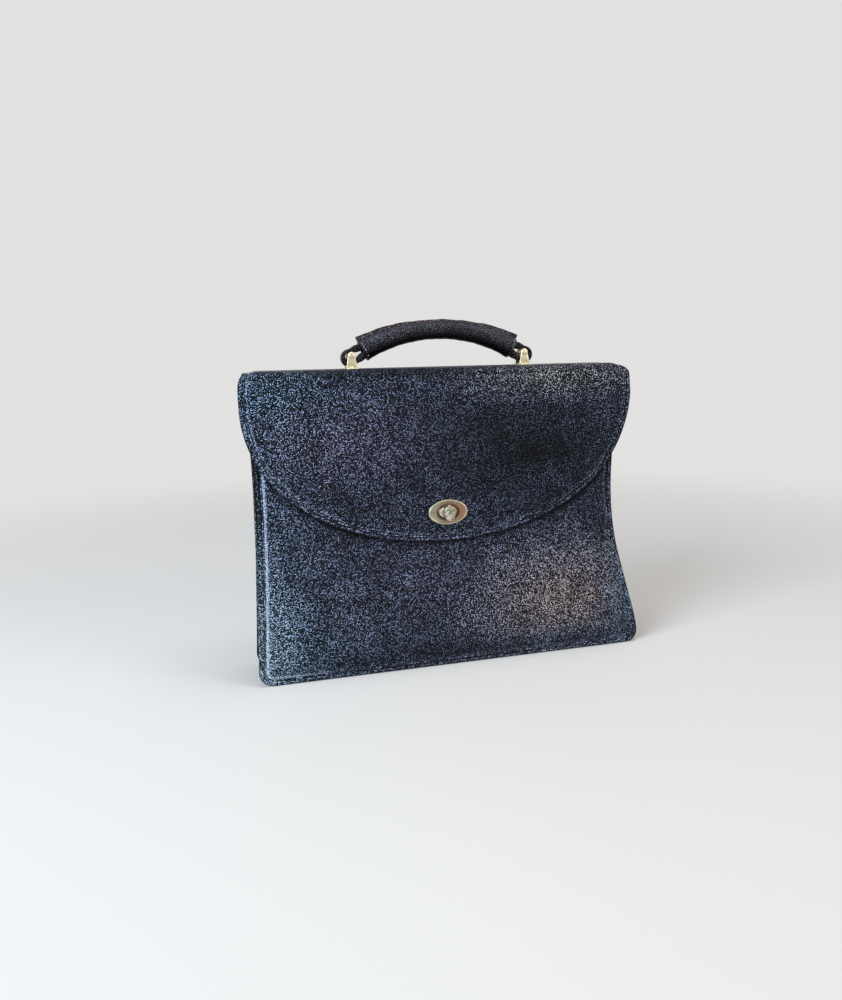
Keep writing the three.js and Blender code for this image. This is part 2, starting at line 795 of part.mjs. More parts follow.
function makeHandle() {
  const finHeight = (share) => THREE.MathUtils.lerp(finMidHeight, finEndHeight, share);
  const wrap = sweep(gripHalfTurn, (share) => gripSection(gripRadius(share), finHeight(share)));
  const overrun = gripSkin / arcRadius;
  const bore = sweep(gripHalfTurn + overrun, (share) => roundSection(gripRadius(share) - gripSkin));
  const coreTurn = gripHalfTurn - (tailInsert + clearance) / arcRadius;
  const core = sweep(coreTurn, (share) => roundSection(gripRadius(share) - gripSkin - clearance));
  return {
    handle_grip: [cut(wrap, bore), black],
    handle_core: [core, brown],
    left_handle_loop: [makeLoop(-1), black],
    right_handle_loop: [makeLoop(1), black],
  };
}

const pieces = {
  ...makeFrontWall(),
  ...makeRearWall(),
  left_gusset: [makeGusset(leftEdge, 1), black],
  right_gusset: [makeGusset(rightEdge, -1), black],
  ...makeBase(),
  ...makeLockBase(),
  ...makeKnob(),
  ...makeTop(),
  ...makeBrackets(),
  ...makeFlap(),
  ...makeLockPlate(),
  ...makeHandle(),
};

const bag = new THREE.Group();
for (const [name, [geometry, look]] of Object.entries(pieces)) {
  const mesh = new THREE.Mesh(geometry, finish(look));
  mesh.name = name;
  bag.add(mesh);
}

export default bag;
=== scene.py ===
import math

import bmesh
import bpy
import numpy as np
from mathutils import Matrix, Vector


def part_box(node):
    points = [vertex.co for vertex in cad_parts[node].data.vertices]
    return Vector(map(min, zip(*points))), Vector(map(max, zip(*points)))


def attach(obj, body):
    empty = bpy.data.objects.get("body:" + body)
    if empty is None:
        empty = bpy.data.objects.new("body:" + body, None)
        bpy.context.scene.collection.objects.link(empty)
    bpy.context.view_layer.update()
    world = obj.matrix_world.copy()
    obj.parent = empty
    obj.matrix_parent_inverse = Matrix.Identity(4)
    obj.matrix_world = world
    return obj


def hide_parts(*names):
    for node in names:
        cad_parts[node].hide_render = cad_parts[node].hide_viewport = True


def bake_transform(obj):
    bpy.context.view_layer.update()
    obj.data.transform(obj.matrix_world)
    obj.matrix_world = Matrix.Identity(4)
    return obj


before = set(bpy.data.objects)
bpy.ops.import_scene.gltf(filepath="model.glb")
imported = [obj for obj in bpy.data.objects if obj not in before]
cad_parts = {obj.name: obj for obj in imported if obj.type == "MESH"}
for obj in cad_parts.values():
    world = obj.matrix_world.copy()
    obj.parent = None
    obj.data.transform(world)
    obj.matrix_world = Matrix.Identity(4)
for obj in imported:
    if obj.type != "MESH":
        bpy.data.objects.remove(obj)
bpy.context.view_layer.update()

# A black leather flap bag with a turn lock. Metres throughout, and every piece keeps its place
# in its mesh, so its object stays at the origin.
print("frame loaded")

# The bag as a whole. A place on the outline is (x, w): x to the right, and w along the leather,
# nought at the front fold's line, less than nought down the flap and more over the top.
bag = {
    "halfWidth": 0.196,       # of the flap at its shoulder
    "top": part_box("top_panel")[1].z,
    "halfDepth": 0.028,       # from the middle to a wall's outer face at its rim
    "foldRadius": 0.008,
    "flapStack": 0.0049,      # from the front wall's face to the flap's
    "leather": 0.0022,
    "board": 0.0016,
    "lining": 0.0008,
    "gap": 0.0003,
    "cornerReach": 0.015,     # of the round corners at the bottom
    "frontBulge": 0.005,
    "rearBulge": 0.003,
}
foldZ = bag["top"] - bag["foldRadius"]
frontFoldY = -bag["halfDepth"] - bag["flapStack"] + bag["foldRadius"]
rearFoldY = bag["halfDepth"] - bag["foldRadius"]
topMiddleY = (frontFoldY + rearFoldY) / 2
quarter = bag["foldRadius"] * math.pi / 2
rearFoldW = quarter + rearFoldY - frontFoldY
rearWallW = rearFoldW + quarter
splitW = quarter + topMiddleY - frontFoldY      # where the flap's hide meets the rear's
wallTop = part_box("front_panel")[1].z
boardDepth = bag["leather"] + bag["gap"]
liningDepth = boardDepth + bag["board"] + bag["gap"]
signOf = {"left": -1, "right": 1}

# The two folds: the bodies they join, and where each one starts and ends.
frontFold = ("top", "flap", (0, frontFoldY, bag["top"]),
             (0, frontFoldY - bag["foldRadius"], foldZ))
rearFold = ("bag", "top", (0, rearFoldY + bag["foldRadius"], foldZ), (0, rearFoldY, bag["top"]))

# Half widths of the two walls, as shares of halfWidth, at even steps from the bottom to the fold.
wallShares = {
    "left": np.array([0.993, 0.983, 0.975, 0.968, 0.961, 0.957, 0.954, 0.953, 0.957, 0.967, 0.98]),
    "right": np.array([1.103, 1.075, 1.03, 0.985, 0.943, 0.918, 0.908, 0.91, 0.92, 0.935, 0.96]),
}

# The hide's edges from the flap's shoulder over both folds: shares of halfWidth at places on w.
hideEdge = {
    "along": np.array([-0.02, -0.01, 0, quarter / 2, quarter, splitW, rearFoldW, rearWallW]),
    "left": np.array([1, 1, 0.994, 0.982, 0.97, 0.966, 0.97, 0.98]),
    "right": np.array([1, 0.992, 0.982, 0.966, 0.952, 0.96, 0.966, 0.96]),
}

flap = {
    "shoulder": -0.02,        # where the straight sides end
    "ovalDrop": 0.1405,
    "ovalPower": 2.1,
    "ovalCorner": 0.27 * math.pi,
    "shift": -0.0035,
    "seam": 0.0054,
    "fall": 0.0019,           # the edge leans in towards the wall
    "fallReach": 0.026,
    "hangReach": 0.02,        # below the fold the lean grows over this height
    "liningInset": 0.012,
    "liningThickness": 0.0005,
    "liningRise": (0.25, 0.7),         # its start and its reach, as shares of the quarter round
    "cornerFrom": 0.88,       # the top's two corners sag, from this share of halfWidth
    "cornerReach": 0.09,
    "droopLeft": 0.0008,
    "droopRight": 0.0022,
}


# Small helpers. Points lie along an array's last axis but one, and their parts along its last.

def smoothStep(t):
    # 3 t squared less 2 t cubed, held to 0 before 0 and to 1 after 1
    t = np.clip(t, 0, 1)
    return t * t * (3 - 2 * t)


def rise(t):
    # a parabola that starts steep at 0 and arrives flat at 1
    return 1 - (1 - np.clip(t, 0, 1)) ** 2


def bell(distance, width):
    # exp of less the square: 1 at nought and about a third at the width
    return np.exp(-(distance / width) ** 2)


def join(*parts):
    return np.stack(np.broadcast_arrays(*parts), -1)


def unit(steps):
    return steps / np.linalg.norm(steps, axis=-1)[..., None]


def toLeft(ahead):
    return join(-ahead[..., 1], ahead[..., 0])


def middleOf(node):
    return [(low + high) / 2 for low, high in zip(*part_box(node))]


def quarterRound(edge, count):
    # how far in and how far back a soft edge lies, from a plate's face round to its side
    turns = np.linspace(0, math.pi / 2, count)
    return [(edge * (1 - math.sin(turn)), edge * (1 - math.cos(turn))) for turn in turns]


def around(count):
    return np.linspace(0, 2 * math.pi, count, endpoint=False)


def lengthAlong(path):
    steps = np.linalg.norm(np.diff(path, axis=-2), axis=-1)
    return np.concatenate([0 * steps[..., :1], np.cumsum(steps, -1)], -1)


def alongPath(path, at):
    # the path's two coordinates at lengths from its start
    length = lengthAlong(path)
    return [np.interp(at, length, part) for part in path.T]


def evenly(path, count):
    # the same path, through `count` points at even steps of its length
    return join(*alongPath(path, np.linspace(0, lengthAlong(path)[-1], count)))


def curveThrough(places, values, at):
    # Between two places a cubic, whose slope at each place is that of its neighbours' line.
    at = np.clip(at, places[0], places[-1])
    slopes = np.gradient(values, places)
    step = np.clip(np.searchsorted(places, at) - 1, 0, len(places) - 2)
    span = places[step + 1] - places[step]
    t = (at - places[step]) / span
    ends = values[step] * (1 + 2 * t) * (1 - t) ** 2 + values[step + 1] * t * t * (3 - 2 * t)
    return ends + span * (slopes[step] * t * (1 - t) ** 2 - slopes[step + 1] * t * t * (1 - t))


def wallEdge(side, z):
    shares = wallShares[side]
    places = np.linspace(0, foldZ, len(shares))
    return signOf[side] * bag["halfWidth"] * curveThrough(places, shares, z)


def hideSide(side, w):
    edge = signOf[side] * bag["halfWidth"] * curveThrough(hideEdge["along"], hideEdge[side], w)
    return np.where(w > rearWallW, wallEdge(side, foldZ - (w - rearWallW)), edge)


# How far a wall stands out. It climbs from the seams at the sides and the bottom, and comes back
# to nothing at the fold.
belly = {"sideReach": 0.055, "bottomReach": 0.034, "topReach": 0.12, "seam": 0.006}
lock = {
    "x": -0.0035,
    "z": middleOf("lock_plate")[2],
    "calm": 0.024,
    "calmReach": 0.03,
    "flapHole": (0.0112, 0.0082, -0.06, -0.03),       # half width, half height, from y to y
    "wallHole": (0.0043, 0.0043, -0.06, -0.02),
}
rng = np.random.default_rng(7)
swells = {
    "size": 0.00034,
    "waves": [(rng.uniform(25, 85), rng.uniform(0, math.pi), rng.uniform(0, 2 * math.pi))
              for _ in range(9)],
}


def wander(x, z):
    # Slow unevenness: sines of several headings added together, calm round the lock.
    total = 0
    for pitch, heading, phase in swells["waves"]:
        total = total + np.sin(pitch * (x * math.cos(heading) + z * math.sin(heading)) + phase)
    away = np.hypot(x - lock["x"], z - lock["z"])
    return swells["size"] * total * smoothStep((away - lock["calm"]) / lock["calmReach"])


def climb(x, z, bulge, left, right):
    # the bulge times a climb from each side, from the bottom and from the fold
    inset, reach = belly["seam"], belly["sideReach"]
    across = rise((x - left - inset) / reach) * rise((right - x - inset) / reach)
    up = rise((z - inset) / belly["bottomReach"]) * smoothStep((foldZ - z) / belly["topReach"])
    return bulge * across * up


def frontFace(x, z, distance=0):
    bulge = bag["frontBulge"] + wander(x, z)
    return climb(x, z, bulge, wallEdge("left", z), wallEdge("right", z))


def rearFace(x, z, distance=0):
    bulge = bag["rearBulge"] + wander(-x, z)
    return climb(x, z, bulge, wallEdge("left", z), wallEdge("right", z))


def frontPlace(x, z, offset):
    return join(x, -bag["halfDepth"] - offset, z)


def rearWallPlace(x, z, offset):
    return join(x, bag["halfDepth"] + offset, z)


def hidePlace(x, w, offset):
    # Straight up the flap, a quarter round over the front fold, across the top, a quarter round
    # over the rear fold and straight down the rear. The offset is along the normal.
    radius = bag["foldRadius"]
    first = np.clip(w / radius, 0, math.pi / 2)
    second = np.clip((w - rearFoldW) / radius, 0, math.pi / 2)
    heading = first + second
    y = frontFoldY - radius * np.cos(first) + np.clip(w - quarter, 0, rearFoldW - quarter)
    y = y + radius * np.sin(second)
    z = foldZ + np.minimum(w, 0) + radius * np.sin(first) - radius * (1 - np.cos(second))
    z = z - np.maximum(w - rearWallW, 0)
    corner = (np.abs(x) / bag["halfWidth"] - flap["cornerFrom"]) / flap["cornerReach"]
    droop = np.where(x < 0, flap["droopLeft"], flap["droopRight"])
    droop = smoothStep(corner) * droop * np.sin(heading)
    return join(x, y - np.cos(heading) * offset, z + np.sin(heading) * offset - droop)


def rearPlace(x, q, offset):
    # the rear's outline runs down with less than nought, so w changes sign
    return hidePlace(x, -q, offset)


# Sewn edges: how a leather's face runs from its rounded rim, over the thread's groove, inward.
seam = {
    "round": bag["leather"] / 2,
    "grooveDepth": 0.001,
    "grooveWidth": 0.0009,
    "crown": 0.00022,
    "pillow": 0.0011,         # the padded swell just inside the thread
    "pillowReach": 0.0024,
    "flapPillow": 0.0009,
    # how much painted highlight or painted shade each line along the edge has, and where it lies:
    # its place and its width
    "groove": 1.6,
    "grooveTone": 0.0013,
    "crest": 2.4,
    "crestAt": (0.0024, 0.0012),       # inside the thread
    "shoulder": 1.8,
    "shoulderAt": (0.0027, 0.0008),    # inside the rim
    "cut": 2.4,
    "cutTone": 0.0011,
    "stripFade": 0.001,
    "leftFrom": -0.1,                  # what counts as the left grows over a reach from here
    "leftReach": 0.07,
    "wallTones": (-0.8, 0.3, 11),      # the strip on the left and elsewhere, and the left crest
    "flapTones": (0.9, 0.3, 4.5),
}
# The front wall's painted shade: under the flap, along its edge and the reach of each.
shade = {"under": 0.55, "edge": 0.75, "edgeReach": 0.012, "shadow": 1.3, "shadowReach": 0.0037,
         "leastDrop": 0.1}
foldShade = {"amount": 0.6, "start": 0.0005, "frontReach": 0.003, "rearReach": 0.006}
rimRings = [0, 0.0001, 0.0003, 0.0006, 0.0011, 0.002, 0.0033, 0.0042, 0.0047, 0.0051, 0.0055,
            0.0059, 0.0064, 0.007, 0.0079, 0.0092, 0.011, 0.013]
liningRings = [0, 0.0001, 0.0002, 0.0005, 0.002, 0.005]


def rimDrop(distance, radius):
    # a quarter circle: the radius less the height of its arc
    inside = radius - np.minimum(distance, radius)
    return radius - np.sqrt(np.maximum(radius ** 2 - inside ** 2, 0))


def seamRelief(distance, at, pillow):
    # inside the groove the leather swells by the pillow's height, steeply first: 1 - exp(-d)
    groove = seam["grooveDepth"] * bell(distance - at, seam["grooveWidth"])
    crown = seam["crown"] * np.sin(math.pi * np.clip(distance / at, 0, 1))
    swelled = pillow * (1 - np.exp(-np.maximum(distance - at, 0) / seam["pillowReach"]))
    return crown + swelled - groove - rimDrop(distance, seam["round"])


def seamTone(x, distance, at, onLeft, elsewhere, crestLeft):
    # painted shade makes the groove and the cut rim black, and painted highlights make the pillow's
    # crest and the rim's shoulder paler, most of all on the left; the strip between has its own
    # tone on the left and elsewhere
    (crestIn, crestWidth), (shoulderIn, shoulderWidth) = seam["crestAt"], seam["shoulderAt"]
    left = smoothStep((seam["leftFrom"] - x) / seam["leftReach"])
    crest = seam["crest"] + (crestLeft - seam["crest"]) * left
    crest = crest * bell(distance - at - crestIn, crestWidth)
    rim = seam["shoulder"] * bell(distance - shoulderIn, shoulderWidth)
    rim = rim - seam["cut"] * bell(distance, seam["cutTone"])
    strip = elsewhere + (onLeft - elsewhere) * left
    strip = strip * smoothStep((at - distance) / seam["stripFade"])
    return crest + rim - seam["groove"] * bell(distance - at, seam["grooveTone"]) + strip


def ovalDrop(x):
    # how far out a place is, and how far down the flap's edge has come there, both as shares
    power = flap["ovalPower"]
    across = np.clip(np.abs(x) / bag["halfWidth"], 0, 1)
    return across, (1 - across ** power) ** (1 / power)


def shadeTone(x, w):
    # The front wall carries a painted shadow along the flap's edge, and further under the flap it
    # is darker by a lesser amount. A height below the edge's slope is made a distance square to it.
    across, drop = ovalDrop(x - flap["shift"] * ovalDrop(x)[1])
    slope = flap["ovalDrop"] / bag["halfWidth"]
    slope = slope * (across / np.maximum(drop, shade["leastDrop"])) ** (flap["ovalPower"] - 1)
    below = (flap["shoulder"] - flap["ovalDrop"] * drop - w) / np.sqrt(1 + slope ** 2)
    under = shade["under"] + shade["edge"] * bell(np.minimum(below, 0), shade["edgeReach"])
    return np.where(below > 0, shade["shadow"] * bell(below, shade["shadowReach"]), under)


def foldTone(w):
    # painted shade: how much darker the hide is from the front fold over the top to the rear fold
    front = smoothStep((w + foldShade["start"]) / foldShade["frontReach"])
    return foldShade["amount"] * front * smoothStep((rearWallW - w) / foldShade["rearReach"])


# Grids that follow a sewn edge.

def distanceToLine(points, line):
    # the least distance from each point to the line's segments
    start, step = line[:-1][None], np.diff(line, axis=0)[None]
    share = ((points[:, None] - start) * step).sum(-1) / (step ** 2).sum(-1)
    nearest = start + np.clip(share, 0, 1)[..., None] * step
    return np.linalg.norm(points[:, None] - nearest, axis=-1).min(1)


def quadsOf(index):
    corners = [index[:-1, :-1], index[:-1, 1:], index[1:, 1:], index[1:, :-1]]
    return np.stack(corners, -1).reshape(-1, 4)


def ringQuads(rows, sides, closed=False):
    # rings of so many sides, one after the other, and back to the first where it is closed
    index = np.arange(rows * sides).reshape(rows, sides)
    index = np.hstack([index, index[:, :1]])
    return quadsOf(np.vstack([index, index[:1]]) if closed else index)


def shellQuads(quads, count, rim):
    # one face, the other `count` points on and turned over, and a strip between their rims
    strip = np.stack([rim[:-1], rim[1:], rim[1:] + count, rim[:-1] + count], 1)
    return np.vstack([quads, quads[:, ::-1] + count, strip])


def insetEdge(left, bottom, right, straight, distance):
    # the outline as one line moved inward, level along the straight rows, and the ways inward
    edge = np.vstack([left, bottom[1:-1], right[::-1]])
    inward = toLeft(unit(np.gradient(edge, axis=0)))
    inward[:straight] = (1, 0)
    inward[len(edge) - straight:] = (-1, 0)
    return edge + distance * inward, inward


def sewnGrid(left, bottom, right, straight, rings, inset=0.0):
    # Rings follow the edge at the distances in `rings`. Inside the last one the first rows run
    # straight across. Below them each point is the ruled sheet between the sides, plus the one
    # between the top and the bottom, less the one through the four corners.
    edge, inward = insetEdge(left, bottom, right, straight, inset)
    band = edge[None] + np.array(rings)[:, None, None] * inward[None]
    inner = band[-1]
    rows, columns, count = len(left), len(bottom), len(edge)
    across = np.linspace(0, 1, columns)[None, :, None]
    sheet = inner[:rows][:, None] * (1 - across) + inner[::-1][:rows][:, None] * across
    down = np.linspace(0, 1, rows - straight + 1)[:, None, None]
    top = sheet[straight - 1:straight]
    low = inner[rows - 1:rows - 1 + columns][None]
    between = (1 - down) * top + down * low
    corners = (1 - down) * top + down * (low[:, :1] * (1 - across) + low[:, -1:] * across)
    sheet[straight - 1:] = sheet[straight - 1:] + between - corners
    bandIndex = np.arange(len(rings) * count).reshape(len(rings), count)
    sheetIndex = np.full((rows, columns), -1)
    sheetIndex[:, 0] = bandIndex[-1, :rows]
    sheetIndex[-1] = bandIndex[-1, rows - 1:rows - 1 + columns]
    sheetIndex[:, -1] = bandIndex[-1, ::-1][:rows]
    free = sheetIndex < 0
    sheetIndex[free] = bandIndex.size + np.arange(free.sum())
    inside = sheet[free]
    return {
        "points": np.vstack([band.reshape(-1, 2), inside]),
        "distance": np.concatenate([np.repeat(rings, count), distanceToLine(inside, edge)]),
        "quads": np.vstack([quadsOf(bandIndex), quadsOf(sheetIndex)]),
        "rim": np.concatenate([bandIndex[:, 0], sheetIndex[0, 1:-1], bandIndex[::-1, -1]]),
    }


def newObject(name, data):
    made = bpy.data.objects.new(name, data)
    bpy.context.scene.collection.objects.link(made)
    return made


def newPiece(name, points, faces, material, uv=None, merge=2e-6, crisp=180, extra=None):
    # Doubles are merged first, so that seams and poles close, and then every face is turned out.
    mesh = bpy.data.meshes.new(name)
    faces = faces.tolist() if isinstance(faces, np.ndarray) else faces
    mesh.from_pydata(np.reshape(points, (-1, 3)).tolist(), [], faces)
    if uv is not None:
        loops = np.zeros(len(mesh.loops), np.int32)
        mesh.loops.foreach_get("vertex_index", loops)
        layer = mesh.uv_layers.new(name="leatherMap")
        uv = np.reshape(uv, (-1, 2))[loops]
        layer.data.foreach_set("uv", uv.astype(np.float32).ravel())
    for key, values in (extra or {}).items():
        layer = mesh.attributes.new(key, "FLOAT", "POINT")
        layer.data.foreach_set("value", values.astype(np.float32).ravel())
    work = bmesh.new()
    work.from_mesh(mesh)
    bmesh.ops.remove_doubles(work, verts=work.verts, dist=merge)
    bmesh.ops.dissolve_degenerate(work, edges=work.edges, dist=merge)
    bmesh.ops.recalc_face_normals(work, faces=work.faces)
    work.to_mesh(mesh)
    work.free()
    mesh.polygons.foreach_set("use_smooth", [True] * len(mesh.polygons))
    if crisp < 180:
        mesh.set_sharp_from_angle(angle=math.radians(crisp))
    mesh.materials.append(material)
    return newObject(name, mesh)


def shellPiece(name, grid, place, outer, inner, material, mapShift=0.0, tone=None):
    # two faces over one grid, joined along their rims
    (x, w), distance = grid["points"].T, grid["distance"]
    points = [place(x, w, face(x, w, distance)) for face in (outer, inner)]
    uv = np.tile(grid["points"], (2, 1)) + (0, mapShift)
    # the tone carries painted highlights and painted shade, besides plain tone
    extra = {"toneAndPaintedLight": np.tile(tone(x, w, distance), 2)} if tone else None
    faces = shellQuads(grid["quads"], len(x), grid["rim"])
    return newPiece(name, points, faces, material, uv, extra=extra)


def finishPiece(piece, body, slot, *nodes):
    if isinstance(body, str):
        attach(piece, body)
    else:
        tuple(body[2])
        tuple(body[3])
        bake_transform(piece)
    if nodes:
        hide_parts(*nodes)
    return piece


# Materials. Patterns follow each leather's own map, in metres, or the piece's own coordinates.

def fill(node, inputs):
    # an input gets a link where it is given a socket, and a constant otherwise
    for key, value in inputs.items():
        if isinstance(value, bpy.types.NodeSocket):
            node.id_data.links.new(value, node.inputs[key])
        else:
            node.inputs[key].default_value = value
    return node


def addNode(tree, kind, inputs=None, **settings):
    made = tree.nodes.new("ShaderNode" + kind)
    for key, value in settings.items():
        setattr(made, key, value)
    return fill(made, inputs or {})


def newMaterial(name, mapped=False):
    # `where` is the leather's own map, or else the piece's own coordinates
    material = bpy.data.materials.new(name)
    material.use_nodes = True
    tree = material.node_tree
    tree.nodes.clear()
    shader = addNode(tree, "BsdfPrincipled")
    addNode(tree, "OutputMaterial", {0: shader.outputs[0]})
    if mapped:
        where = addNode(tree, "UVMap", uv_map="leatherMap").outputs[0]
    else:
        where = addNode(tree, "TexCoord").outputs["Object"]
    return material, tree, shader, where


def calc(tree, kind, *values, clamp=False):
    inputs = dict(enumerate(values))
    return addNode(tree, "Math", inputs, operation=kind, use_clamp=clamp).outputs[0]


def vector(tree, kind, *values, output=0):
    return addNode(tree, "VectorMath", dict(enumerate(values)), operation=kind).outputs[output]


def noise(tree, where, scale, detail, output="Fac", flat=False):
    inputs = {"Vector": where, "Scale": scale, "Detail": detail}
    kind = "2D" if flat else "3D"
    return addNode(tree, "TexNoise", inputs, noise_dimensions=kind).outputs[output]


def remap(tree, value, low, high, toLow=0.0, toHigh=1.0, **settings):
    return addNode(tree, "MapRange", {
        "Value": value, "From Min": low, "From Max": high, "To Min": toLow, "To Max": toHigh,
    }, **settings).outputs["Result"]


def spread(tree, value, ends):
    # a noise, which keeps between 0.3 and 0.7 for the most part, over a range of its own
    return remap(tree, value, 0.3, 0.7, *ends)


def mixColour(tree, factor, first, second):
    # a colour is a socket or three numbers
    first, second = [(*part, 1) if isinstance(part, tuple) else part for part in (first, second)]
    return addNode(tree, "Mix", {0: factor, 6: first, 7: second}, data_type="RGBA").outputs[2]


def addBump(tree, height, distance, strength):
    inputs = {"Height": height, "Distance": distance, "Strength": strength}
    return addNode(tree, "Bump", inputs).outputs[0]


grain = {
    "cell": 0.00108,          # across one pebble
    "smooth": 0.2,
    "warp": 0.00045,
    "warpScale": 0.45,        # for each cell's width, like the next
    "fineScale": 2.2,
    "slowScale": 34.0,
    "height": 0.0003,
    "fineHeight": 0.3,        # of the fine noise, as a share of a pebble's
    "dome": (0.1, 0.46),      # from a cell's middle, where the pebble starts to fall and ends
    "domePower": 0.9,
    "pit": (0.001, 0.0011, 0.0015),
    "fleck": (0.5, 0.62, 1.0),
    "cutEdge": (0.075, 0.026, 0.016),
    "rough": (0.26, 0.5),
    "specular": 0.1,
    "coat": 0.06,
    "coatRough": 0.16,
    "plain": 0.02,            # the least wear that a pebble shows
    "luck": 4.4,              # the power that makes most pebbles dark and a few pale
    "slowWear": (0.65, 1.35),
    # how much the tone, with its painted highlights and painted shade, adds
    "rub": 0.9,
    "glint": 0.5,             # of the glossiest pebbles, as a share of metal
    "glintFrom": (0.72, 0.92),
    "pitStart": 0.36,         # below this share of a pebble's height the hide swallows the light
    "paintedHighlight": 0.85,           # the painted highlight along the seams: its strength, then the tone over which it grows, its share in the pits and its colour
    "highlightFrom": (3.0, 11.0),
    "pitHighlight": 0.4,         # in the pits, as a share
    "highlightColour": (0.78, 0.9, 1.0),
    # Painted sheen, warm reflections and shade on the hide: the middle and the reach of a
    # round spot on the leather's map, how much it adds to the pebbles' paleness, and its own tint.
    "paintedLightSpots": [
        ((-0.2, -0.13), (0.085, 0.3), 0.95, (0.92, 1.04, 1.0)),
        ((-0.18, -0.015), (0.13, 0.05), 1.0, (0.8, 1.05, 1.0)),
        ((-0.165, -0.27), (0.12, 0.14), 1.2, (0.92, 1.1, 1.0)),
        ((-0.187, -0.25), (0.04, 0.12), 4.5, (1.15, 1.26, 1.0)),
        ((-0.1, -0.06), (0.1, 0.055), 0.8, (1.18, 1.0, 1.0)),
        ((-0.02, -0.2), (0.15, 0.075), 0.55, (1.12, 1.03, 1.0)),
        ((0.085, -0.075), (0.15, 0.07), -0.85, (0.95, 1.03, 1.0)),
        ((0.11, -0.002), (0.13, 0.03), 1.6, (1.65, 1.38, 0.88)),
        ((0.122, -0.232), (0.135, 0.088), 3.2, (1.95, 1.34, 0.84)),
        ((0.2, -0.25), (0.04, 0.12), 0.8, (0.92, 1.15, 1.0)),
        ((0.12, -0.281), (0.17, 0.019), -0.95, (0.95, 1.05, 1.0)),
    ],
}


def patch(tree, where, centre, reach):
    # a soft round spot, 1 at its middle and 0 at its reach
    moved = vector(tree, "SUBTRACT", where, (*centre, 0))
    scaled = vector(tree, "MULTIPLY", moved, (1 / reach[0], 1 / reach[1], 0))
    made = addNode(tree, "TexGradient", {"Vector": scaled}, gradient_type="SPHERICAL")
    return made.outputs["Fac"]


def makeLeather(name, look):
    # Domed pebbles from a cell pattern. Each is paler by its own chance, partly as wear and partly
    # as painted glints, times the painted sheen and shade of the spots that it lies in, and the
    # pits between them
    # stay black as painted shade: as a black metal they throw back almost nothing.
    material, tree, shader, where = newMaterial(name, mapped=True)
    cell = look["cell"]

    def cells(output, feature, **inputs):
        inputs = {"Vector": shifted, "Scale": 1 / cell, **inputs}
        made = addNode(tree, "TexVoronoi", inputs, voronoi_dimensions="2D", feature=feature)
        return made.outputs[output]

    def attribute(key):
        made = addNode(tree, "Attribute", attribute_name=key, attribute_type="GEOMETRY")
        return made.outputs["Fac"]

    wobble = noise(tree, where, look["warpScale"] / cell, 2.0, "Color", flat=True)
    shifted = vector(tree, "MULTIPLY_ADD", wobble, (look["warp"],) * 3, where)
    fine = noise(tree, where, look["fineScale"] / cell, 3.0, flat=True)
    slow = noise(tree, where, look["slowScale"], 4.0, flat=True)
    dome = cells("Distance", "SMOOTH_F1", Smoothness=look["smooth"])
    dome = remap(tree, dome, *look["dome"], 1.0, 0.0)
    chance = addNode(tree, "SeparateColor", {"Color": cells("Color", "F1")}).outputs[0]
    luck = calc(tree, "POWER", chance, look["luck"])
    wearAndPaintedLight = calc(tree, "MULTIPLY", remap(tree, luck, 0.0, 1.0, look["plain"], 1.0),
                calc(tree, "POWER", dome, look["domePower"]))
    wearAndPaintedLight = calc(tree, "MULTIPLY", wearAndPaintedLight, spread(tree, slow, look["slowWear"]))

    # the tone holds painted highlights and painted shade along the seams, folds, the flap's edge
    # and the grip
    toneAndPaintedLight = attribute("toneAndPaintedLight")
    # where the tone is highest it paints a pale highlight colour, with a lesser share in the pits
    paintedHighlight = remap(tree, toneAndPaintedLight, *look["highlightFrom"], 0.0, look["paintedHighlight"])
    bare = calc(tree, "MULTIPLY", paintedHighlight, remap(tree, dome, 0.0, 1.0, look["pitHighlight"], 1.0))
    amount = calc(tree, "MULTIPLY_ADD", toneAndPaintedLight, look["rub"], 1.0)
    fleck = look["fleck"]
    # each spot adds a painted sheen, warm reflection or shade and tints the flecks
    for centre, reach, gain, tint in look["paintedLightSpots"]:
        spot = patch(tree, where, centre, reach)
        amount = calc(tree, "MULTIPLY_ADD", spot, gain, amount)
        tinted = tuple(a * b for a, b in zip(look["fleck"], tint))
        fleck = mixColour(tree, spot, fleck, tinted)
    fleck = mixColour(tree, paintedHighlight, fleck, look["highlightColour"])
    wearAndPaintedLight = calc(tree, "MULTIPLY_ADD", wearAndPaintedLight, amount, bare, clamp=True)
    colour = mixColour(tree, wearAndPaintedLight, look["pit"], fleck)

    glossy = remap(tree, chance, *look["glintFrom"], 0.0, look["glint"])
    glossy = calc(tree, "MULTIPLY", glossy, calc(tree, "MULTIPLY", dome, amount))
    pits = calc(tree, "MULTIPLY", remap(tree, dome, 0.0, look["pitStart"], 1.0, 0.0),
                calc(tree, "SUBTRACT", 1.0, paintedHighlight))
    metal = calc(tree, "MAXIMUM", pits, glossy)
    height = calc(tree, "MULTIPLY_ADD", fine, look["fineHeight"], dome)
    bump = addBump(tree, height, look["height"], 1.0)
    fill(shader, {
        "Base Color": mixColour(tree, attribute("cutEdge"), colour, look["cutEdge"]),
        "Metallic": calc(tree, "MINIMUM", metal, 1.0),
        "Roughness": spread(tree, fine, look["rough"]),
        "Specular IOR Level": look["specular"],
        "Coat Weight": look["coat"],
        "Coat Roughness": look["coatRough"],
        "Normal": bump,
        "Coat Normal": bump,
    })
    return material


plainLook = {"cloud": 90.0, "fine": 1100.0, "specks": (0.38, 0.66), "darker": 0.6, "bump": 0.7}


